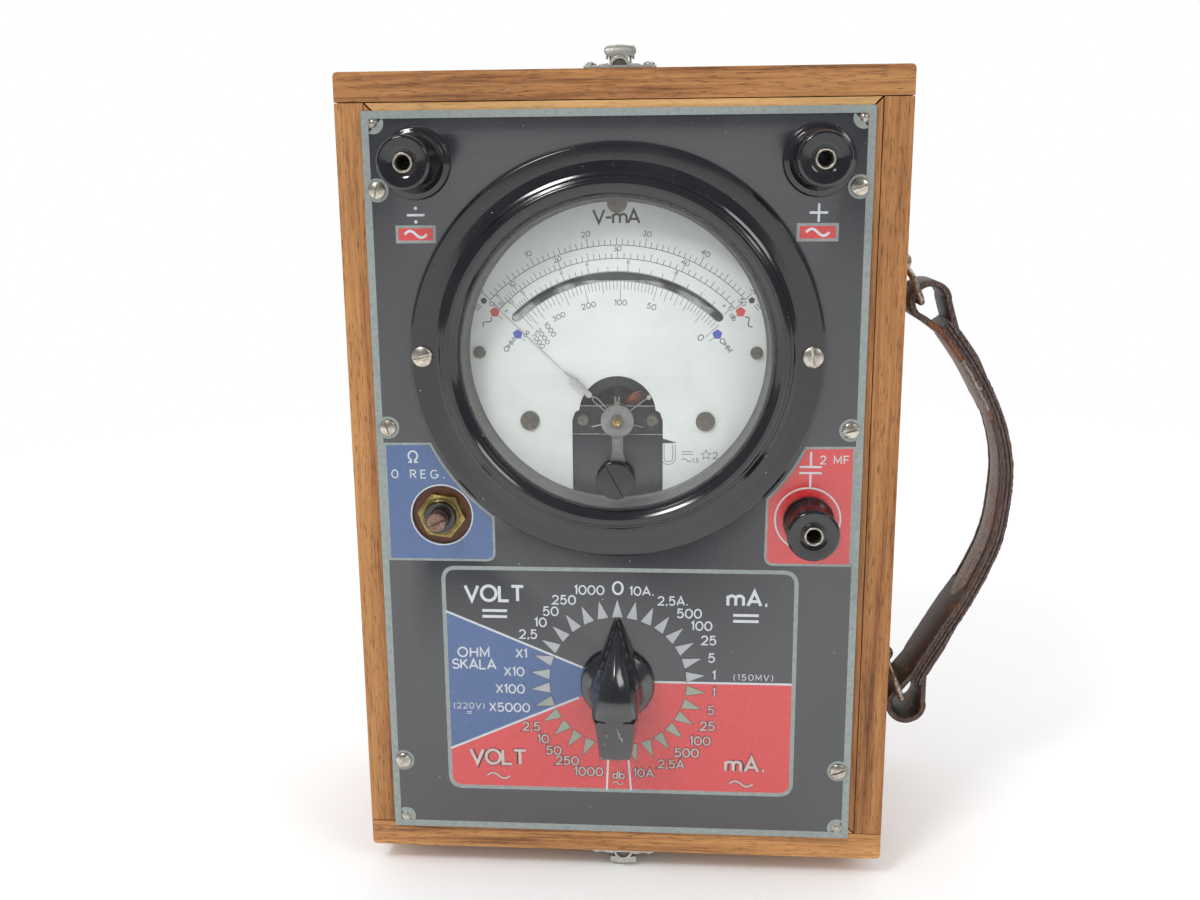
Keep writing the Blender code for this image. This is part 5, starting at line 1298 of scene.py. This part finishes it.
def makeAdjuster():
    x, y, _ = seat("ohm_pot_nut")
    nut = {"flats": 13.2, "low": -0.85, "high": 1.8, "bore": 4.6, "flat": 6.0}
    steps = 120
    rings = [(nut["bore"], nut["low"]), (nut["bore"], nut["high"] - 0.25),
             (nut["bore"] + 0.3, nut["high"] - 0.05),
             (5.0, nut["high"]), (5.15, nut["high"] - 0.12), (5.35, nut["high"]), (5.6, nut["high"] - 0.1),
             (nut["flat"], nut["high"])]
    verts, faces = [], []
    for radius, level in rings:
        verts += [(x + radius * math.cos(math.tau * i / steps), y + radius * math.sin(math.tau * i / steps),
                   level)
                  for i in range(steps)]
    for level in (None, nut["low"]):
        for i in range(steps):
            angle = math.tau * i / steps
            reach = hexReach(angle + math.radians(8), nut["flats"])
            z = nut["high"] - max(0.0, reach - nut["flat"]) * 0.5 if level is None else level
            verts.append((x + reach * math.cos(angle), y + reach * math.sin(angle), z))
    total = len(rings) + 2
    for k in range(total):
        for i in range(steps):
            j = (i + 1) % steps
            n = (k + 1) % total
            faces.append((k * steps + i, k * steps + j, n * steps + j, n * steps + i))
    shape = newShape()
    put(shape, (verts, faces))
    makePiece("ohmNut", shape, [oliveBrass], replaces=["ohm_pot_nut"], sharp=28)
    bush = newShape()
    thread = [(3.2, 3.4), (3.9, 3.4)]
    for i in range(8):
        level = 3.2 - i * 0.55
        thread += [(4.45, level), (4.1, level - 0.27)]
    put(bush, lathe([*thread, (4.5, -1.0), (9.3, -1.2)], 72, (x, y)))
    makePiece("ohmBush", bush, [oliveBrass])
    well = newShape()
    put(well, lathe([(9.55, 0.0), (9.5, -0.9), (9.4, -1.25), (4.0, -1.25)], 72, (x, y)))
    makePiece("ohmWell", well, [pertinax])
    shaft = newShape()
    put(shaft, slottedHead(3.0, 8.0, 9.5, 0.15, 0.9, 0.9, 24, (x, y), 0.35, 7, 16))
    put(shaft, lathe([(0.0, -2.0), (2.95, -2.0), (2.95, 5.2), (3.05, 5.4), (2.9, 5.7), (3.0, 6.0),
                      (3.0, 8.0)], 48, (x, y)))
    makePiece("ohmShaft", shaft, [shaftMetal], body="ohm_adjuster",
              replaces=["ohm_pot_shaft"])


makeSockets()
makeAdjuster()
print("sockets and adjuster made")


# Handle strap

strapInfo = {
    "depth": -46.1, "width": 20.0, "thick": 3.8,
    "route": [(100.17, 55.84), (107.33, 46.0), (115.65, 34.1), (123.41, 19.0), (127.8, 3.0), (127.88, -12.0),
              (125.45, -27.0), (118.05, -45.0), (109.85, -60.0), (102.75, -73.3), (98.67, -84.56)],
    "loopRadius": 5.9, "ply": 2.0, "startTop": 8.5, "startLow": 8.5, "lapOut": 26.0, "lapIn": 40.0,
}


def strapSection(part):
    half, thick = strapInfo["width"] / 2, strapInfo["thick"] / 2
    ease = min(1.0, 5 * min(part, 1 - part) + 0.2)

    def wavy(rate, seed):
        return noise.noise(Vector((part * rate, seed, 0)))

    points = []
    for i in range(33):
        b = -9.4 + 18.8 * i / 32
        crown = 0.75 * ease * max(0.0, 1 - (b / 6.6) ** 2)
        groove = 0.5 * math.exp(-((abs(b) - 7.4) / 0.4) ** 2)
        points.append((thick + crown - groove + 0.15 * wavy(60, 1.3) * (abs(b) > 7.8), b))
    lip, notch = 0.35 * wavy(90, 5.1), 0.3 * wavy(150, 7.7)
    front = half + lip
    points += [(thick - 0.1, 9.8), (thick - 0.45, front), (thick - 1.0, front), (thick - 1.25, front - 0.55),
               (thick - 1.45, front - 0.55), (thick - 1.65, half - 0.1),
               (thick - 2.3, half - 0.05 + notch * 0.5),
               (thick - 2.5, half - 0.6), (thick - 2.65, half - 0.6), (thick - 2.85, half + notch),
               (-thick + 0.35, half + notch), (-thick + 0.05 - notch, 9.7)]
    for i in range(33):
        b = 9.4 - 18.8 * i / 32
        groove = 0.5 * math.exp(-((abs(b) - 7.6) / 0.45) ** 2) + 0.4 * math.exp(-((abs(b) - 4.6) / 0.4) ** 2)
        points.append((-thick + groove - 0.2 * notch * (b > 8.2), b))
    points += [(-thick + 0.3, -9.9), (thick - 2.6, -10.0), (thick - 2.3, -9.5), (thick - 2.1, -10.0),
               (thick - 0.4, -10.0)]
    return points


# The part of a path past a distance along it
def walk(path, distance):
    gone = 0.0
    for i, (a, b) in enumerate(zip(path, path[1:])):
        gone += (b - a).length
        if gone >= distance:
            return path[i + 1:]
    return path[-2:]


def makeStrap():
    depth, radius, ply = strapInfo["depth"], strapInfo["loopRadius"], strapInfo["ply"]
    whole = curveThrough([(x, y, depth) for x, y in strapInfo["route"]], 26)
    path = walk(whole, strapInfo["startTop"])
    path = walk(path[::-1], strapInfo["startLow"])[::-1]
    shape = newShape()
    body = sweep(path, strapSection, (0, 0, 1))
    put(shape, body, 0)
    rows = len(strapSection(0.5))
    for i in range((len(path) - 1) * rows):
        j = i % rows
        shape["finish"][i] = 2 if 7 <= j < 26 else 3 if 32 <= j < 45 or j >= 77 else 0
    for strand, sign in ((whole, 1), (whole[::-1], -1)):
        centre = strand[0]
        near = walk(strand, 7.0)
        away = (near[4] - near[0]).normalized()
        side = Vector((-away.y, away.x, 0)) * (1 if -away.y > 0 else -1)

        def follow(offset, length, start=0.0):
            out, gone = [], 0.0
            for a, b in zip(near, near[1:]):
                gone += (b - a).length
                if gone > length:
                    break
                if gone >= start:
                    aside = Vector((-(b - a).y, (b - a).x, 0)).normalized()
                    out.append(a + aside * offset * (1 if -away.y > 0 else -1))
            return out

        outer = follow(1.7, strapInfo["lapOut"], 5.0)[::3]
        inner = follow(-1.95, strapInfo["lapIn"], 5.0)[::3]
        turn = [centre + away * (radius * math.cos(math.radians(t))) + side * (radius * math.sin(math.radians(t)))
                for t in range(52, 309, 16)]
        route = curveThrough([*outer[::-1], *turn, *inner], 4)
        half = strapInfo["width"] / 2 - 0.1

        def plySection(part, half=half, ply=ply):
            t = ply / 2 * min(1.0, 9 * min(part, 1 - part) + 0.25)
            edge = half + 0.22 * noise.noise(Vector((part * 34, 8.0 + sign, 0)))
            return [(-t * 0.7, -edge), (t * 0.7, -edge), (t, -edge + 0.4), (t, edge - 0.4), (t * 0.7, edge),
                    (t * 0.2, edge - 0.12), (-t * 0.2, edge - 0.12), (-t * 0.7, edge), (-t, edge - 0.4),
                    (-t, -edge + 0.4)]

        base = len(shape["finish"])
        put(shape, sweep(route, plySection, (0, 0, 1)), 1)
        lap = len(inner) * 4
        count = len(route) - 1
        for i in range(count):
            for j in range(10):
                if i > count - lap and sign > 0:
                    shape["finish"][base + i * 10 + j] = 4 if i < count - lap * 0.62 or i > count - 8 else 2
                elif j in (3, 4, 5, 6, 7):
                    shape["finish"][base + i * 10 + j] = 3
    piece = makePiece("handleStrap", shape, [leather, leatherInside, leatherScuffed, leatherEdge, leatherWorn],
                      body="strap", replaces=["handle_strap"], sharp=50, weld=1e-7)
    stitches = newShape()
    lengths = [0.0]
    for a, b in zip(path, path[1:]):
        lengths.append(lengths[-1] + (b - a).length)
    pitch, gap = 3.0, 0.9
    for face, across in ((1, 7.4), (1, -7.4), (-1, 7.6), (-1, -7.6)):
        at = 4.0
        while at < lengths[-1] - 4:
            ends = []
            for where in (at, at + (pitch - gap) / 2, at + pitch - gap):
                point, along = pointAlong(path, lengths, where)
                outward = along.cross(Vector((0, 0, 1))).normalized()
                ends.append(point + outward * (face * 1.62) + Vector((0, 0, across)))
            put(stitches, rod(ends, 0.26, sides=8))
            at += pitch
    makePiece("handleStitches", stitches, [threadDark], body="strap")
    return piece


def pointAlong(path, lengths, at):
    for i in range(len(path) - 1):
        if lengths[i + 1] >= at:
            t = (at - lengths[i]) / (lengths[i + 1] - lengths[i])
            return path[i].lerp(path[i + 1], t), (path[i + 1] - path[i]).normalized()
    return path[-1], (path[-1] - path[-2]).normalized()


makeStrap()
print("strap made")


# Rings and eyes of the handle

ringInfo = {
    "hinge": 91.85, "levels": (("top", 68.26), ("bottom", -69.34)), "lean": 22.0, "wire": 1.1, "eyeWire": 0.9,
    "outline": [(3.68, 0.0), (5.0, 1.32), (12.3, 5.0), (12.3, 12.08), (10.98, 13.4)], "side": 85.85, "bow": 2.1,
    "reach": 6.3, "sunk": 5.8,
}


def makeRings():
    depth, lean = strapInfo["depth"], math.radians(ringInfo["lean"])
    half = ringInfo["outline"]
    around = [*half, *[(-u, v) for u, v in reversed(half)]]
    around = fillet(around, [0.9, 1.2, 2.2, 1.6, 1.6, 1.6, 1.6, 2.2, 1.2, 0.9], 5)
    for name, level in ringInfo["levels"]:
        path = [(ringInfo["hinge"] + v * math.sin(lean), level - v * math.cos(lean), depth + u) for u,
                v in around]
        ring = newShape()
        put(ring, rod(path, ringInfo["wire"], True, 16, (math.cos(lean), math.sin(lean), 0)))
        makePiece(name + "Ring", ring, [wornNickel], body=name + "_ring",
                  replaces=[name + "_handle_ring"], sharp=60)
        eye = newShape()
        side, bow = ringInfo["side"], ringInfo["bow"]
        legs = [(side - ringInfo["sunk"], level + bow), (side + ringInfo["reach"], level + bow),
                *arc(bow, 90, -90, (side + ringInfo["reach"], level), 14)[1:-1],
                (side + ringInfo["reach"], level - bow), (side - ringInfo["sunk"], level - bow)]
        put(eye, rod([(x, y, depth) for x, y in legs], ringInfo["eyeWire"], False, 14))
        makePiece(name + "Eye", eye, [wornNickel], replaces=[name + "_handle_eye"], sharp=50)


makeRings()
print("rings made")


# Catches: sizes in millimetres across, up from the board and forward

catch = {
    "across": 1.35, "front": -1.8, "back": -10.8, "pin": (-6.3, 5.2), "plate": 0.8, "half": 10.65,
    "rib": (3.1, 3.5), "ear": 2.95, "hood": 4.1, "sheet": 0.6, "screw": 8.5,
    # forward place, height, half width of the hook's sheet
    "sheetLine": [(-3.75, 3.75, 3.95), (-3.85, 4.8, 4.1), (-4.2, 5.9, 4.15), (-5.0, 6.7, 4.15),
                  (-6.4, 7.05, 4.1),
                  (-9.0, 6.9, 3.9), (-12.0, 6.2, 3.6), (-15.0, 5.5, 3.4), (-17.2, 5.3, 3.2), (-17.8, 5.5, 3.0)],
}


# A bent strip: the spine gives place, height and half width, the crown drops its sides
def bentSheet(spine, thickness, crown, columns=10):
    verts, faces = [], []
    count, width = len(spine), columns + 1
    for level in (0, 1):
        for i, (z, h, half) in enumerate(spine):
            before, after = spine[max(i - 1, 0)], spine[min(i + 1, count - 1)]
            along = Vector((after[0] - before[0], after[1] - before[1])).normalized()
            inward = Vector((along.y, -along.x)) * (-thickness * level)
            for k in range(width):
                t = 2 * k / columns - 1
                verts.append((t * half, h + inward.y - crown * t * t, z + inward.x))
    size = count * width
    for i in range(count - 1):
        for k in range(columns):
            a = i * width + k
            faces.append((a, a + 1, a + width + 1, a + width))
            faces.append((size + a, size + a + width, size + a + width + 1, size + a + 1))
    rim = [*range(width), *[(i + 1) * width - 1 for i in range(1, count)],
           *[(count - 1) * width + k for k in range(width - 2, -1, -1)],
           *[i * width for i in range(count - 2, 0, -1)]]
    for a, b in zip(rim, rim[1:] + rim[:1]):
        faces.append((a, b, size + b, size + a))
    return verts, faces


# A plate standing in the forward and up plane, from low to high across
def sideways(outline, low, high, edge=0.12):
    verts, faces = slab(outline, low, high, (), edge, 2)
    return [(z, y, x) for x, y, z in verts], faces


def makeCatch(name, level, sign):
    place = Matrix(((1, 0, 0, catch["across"]), (0, sign, 0, level), (0, 0, 1, 0), (0, 0, 0, 1)))
    pinZ, pinH = catch["pin"]
    half, front, back, plate = catch["half"], catch["front"], catch["back"], catch["plate"]
    base = newShape()
    outline = fillet([(-half, back), (half, back), (half, front), (-half, front)], 1.6, 5)
    verts, faces = slab(outline, 0.05, plate, (), 0.2, 3)
    put(base, ([(x, z, y) for x, y, z in verts], faces), 0, True, place)
    width, height = catch["rib"]
    # The second entry fills the back of the rib's hollow with the duller nickel: painted shade in the hollow
    for outer, inner, low, high, finish in ((1.0, 0.74, front - 1.5, front, 0),
                                            (0.78, 0.0, front - 1.1, front - 0.5, 1)):
        ring = [(width * outer * math.cos(t), plate * 0.4 + (height - plate * 0.4) * outer * math.sin(t))
                for t in spread(0, math.pi, 28)]
        if inner:
            ring += [(width * inner * math.cos(t), plate * 0.4 + (height - plate * 0.4) * inner * math.sin(t))
                     for t in spread(math.pi, 0, 28)]
        else:
            ring += [(-width * outer, 0.3), (width * outer, 0.3)]
        put(base, slab(ring, low, high, (), 0.14, 2), finish, True, place)
    flare = [(-6.6, plate - 0.1), (-3.0, plate - 0.1), (-3.3, plate + 0.55), (-5.6, plate + 0.35)]
    for mirror in (1, -1):
        wing = [(mirror * x, y) for x, y in flare]
        put(base, slab(wing if mirror > 0 else wing[::-1], front - 1.3, front - 0.1, (), 0.15, 2), 0, True,
            place)
        ear = [(pinZ - 3.2, plate - 0.2), (pinZ - 0.9, plate - 0.2), (pinZ - 0.85, 2.8),
               (pinZ + 1.2, pinH - 0.4),
               *[(pinZ + 1.2 * math.cos(t), pinH + 1.2 * math.sin(t)) for t in spread(0.3, math.pi - 0.3, 8)],
               (pinZ - 1.2, pinH)]
        low = mirror * catch["ear"]
        put(base, sideways(ear, low - 0.3, low + 0.3), 0, True, place)
        low = mirror * catch["screw"]
        verts, faces = slottedHead(1.75, plate, plate + 1.25, 0.75, 0.45, 0.45, 30 if mirror > 0 else 70,
                                   (0, 0), 0.2)
        put(base, ([(x + low, z, y + (front + back) / 2 + 2.2) for x, y, z in verts], faces), 0, True, place)
    makePiece(name + "CatchBase", base, [paleNickel, dullNickel],
              replaces=[name + "_catch_base"], sharp=34)
    hook = newShape()
    spine = curveThrough([(z, h, w) for z, h, w in catch["sheetLine"]], 5)
    put(hook, bentSheet([tuple(p) for p in spine], catch["sheet"], 0.45), 0, True, place)
    for mirror in (1, -1):
        flange = [(-9.4, 6.3), (-8.6, 4.0), (-7.4, 2.9), (-5.4, 2.7), (-4.5, 3.6), (-4.3, 5.2), (-4.9, 6.3),
                  (-6.4, 6.7)]
        low = mirror * (catch["hood"] - 0.25)
        put(hook, sideways(flange[::-1], low - 0.25, low + 0.25), 0, True, place)
        verts, faces = lathe([(0.0, 0.0), (1.0, 0.0), (1.0, 0.25), (0.7, 0.5), (0.0, 0.6)], 20)
        put(hook, ([(mirror * (catch["hood"] + z), y + pinH, x + pinZ) for x, y, z in verts], faces), 0,
            True, place)
    put(hook, rod([(-catch["hood"], pinH, pinZ), (catch["hood"], pinH, pinZ)], 0.55, sides=14,
                  up=(0, 0, 1)), 0, True, place)
    lip = [(-4.6, 2.75), (-4.05, 3.1), (-3.85, 3.9), (-4.4, 3.95), (-4.55, 3.4), (-4.9, 3.2)]
    put(hook, sideways(lip, -2.4, 2.4, 0.08), 0, True, place)
    makePiece(name + "CatchHook", hook, [paleNickel], body=name + "_hook",
              replaces=[name + "_catch_hook"], sharp=40)


makeCatch("top", 126.8, 1)
makeCatch("bottom", -123.44, -1)
print("catches made")


# Floor, lights and camera

def makeStage():
    mesh = bpy.data.meshes.new("floor")
    half, steps = 30.0, 12
    verts = [(half * (2 * i / steps - 1), half * (2 * j / steps - 1), 0.0) for j in range(steps + 1)
             for i in range(steps + 1)]
    faces = [(j * (steps + 1) + i, j * (steps + 1) + i + 1, (j + 1) * (steps + 1) + i + 1,
              (j + 1) * (steps + 1) + i)
             for j in range(steps) for i in range(steps)]
    mesh.from_pydata(verts, [], faces)
    floor = bpy.data.objects.new("floor", mesh)
    bpy.context.scene.collection.objects.link(floor)
    material, tree, shader, place = startMaterial("floorWhite", (0.96, 0.96, 0.96), 0.95)
    shader.inputs["Specular IOR Level"].default_value = 0.05
    soft = noiseOf(tree, place, 0.004, 2, 0.5)
    paint(tree, shader, ramp(tree, soft, [(0.3, 0.955), (0.7, 0.965)]))
    far = add(tree, "VectorMath", {0: place}, operation="LENGTH").outputs["Value"]
    fade = add(tree, "MapRange", {"Value": far, "From Min": 260, "From Max": 900},
               interpolation_type="SMOOTHSTEP")
    paths = add(tree, "LightPath")
    direct = sums(tree, "MAXIMUM", paths.outputs["Is Camera Ray"], paths.outputs["Is Glossy Ray"])
    direct = sums(tree, "MAXIMUM", direct, paths.outputs["Is Transmission Ray"])
    pale = add(tree, "Emission", {"Color": (1, 1, 1, 1), "Strength": 1.0})
    blend = add(tree, "MixShader", {0: sums(tree, "MULTIPLY", direct, fade.outputs["Result"]),
                                    1: shader.outputs[0],
                                    2: pale.outputs[0]})
    tree.links.new(blend.outputs[0], tree.nodes["Material Output"].inputs["Surface"])
    mesh.materials.append(material)

    world = bpy.data.worlds.new("studio")
    bpy.context.scene.world = world
    world.use_nodes = True
    tree = world.node_tree
    tree.nodes.clear()
    seen = add(tree, "Background", {"Color": (1, 1, 1, 1), "Strength": 1.0})
    ambient = add(tree, "Background", {"Color": (0.98, 0.99, 1.0, 1), "Strength": 0.93})
    view = add(tree, "SeparateXYZ", {"Vector": add(tree, "TexCoord").outputs["Generated"]})
    room = ramp(tree, add(tree, "MapRange", {"Value": view.outputs["Y"], "From Min": -1.0,
                                             "From Max": 1.0}).outputs[0],
                [(0.0, (0.16, 0.17, 0.19)), (0.5, (0.24, 0.25, 0.27)), (0.68, (1.0, 1.0, 1.0))])
    mirrored = add(tree, "Background", {"Color": room, "Strength": 1.0})
    paths = add(tree, "LightPath")
    sharp = sums(tree, "MAXIMUM", paths.outputs["Is Glossy Ray"], paths.outputs["Is Transmission Ray"])
    bounced = add(tree, "MixShader", {0: sharp, 1: ambient.outputs[0], 2: mirrored.outputs[0]})
    blend = add(tree, "MixShader", {0: paths.outputs["Is Camera Ray"], 1: bounced.outputs[0],
                                    2: seen.outputs[0]})
    out = add(tree, "OutputWorld")
    tree.links.new(blend.outputs[0], out.inputs["Surface"])

    for name, at, aim, size, power in (
        ("keyLight", (-0.55, -0.8, 1.15), (0, 0, 0.1), 0.3, 6.0),
        ("fillLight", (0.85, -0.75, 0.85), (0, 0, 0.12), 0.4, 2.0),
        ("backLight", (0.2, 1.0, 1.1), (0, 0, 0.1), 0.8, 2.0),
    ):
        lamp = bpy.data.lights.new(name, "AREA")
        lamp.size = size
        lamp.energy = power
        holder = bpy.data.objects.new(name, lamp)
        holder.location = at
        holder.rotation_mode = "QUATERNION"
        holder.rotation_quaternion = (Vector(aim) - Vector(at)).to_track_quat("-Z", "Y")
        bpy.context.scene.collection.objects.link(holder)

    camera = bpy.data.cameras.new("photoCamera")
    camera.lens = 36.108
    camera.sensor_width = 36.0
    camera.clip_start = 0.01
    holder = bpy.data.objects.new("photoCamera", camera)
    axes = Matrix(((0.9974, -0.0076, 0.0716), (0.0716, 0.2172, -0.9735), (-0.0082, 0.9761, 0.2171)))
    holder.matrix_world = Matrix.Translation((-0.00196, -0.39693, 0.22538)) @ axes.to_4x4()
    bpy.context.scene.collection.objects.link(holder)
    bpy.context.scene.camera = holder
    bpy.context.scene.view_settings.view_transform = "Standard"


makeStage()
print("stage made")
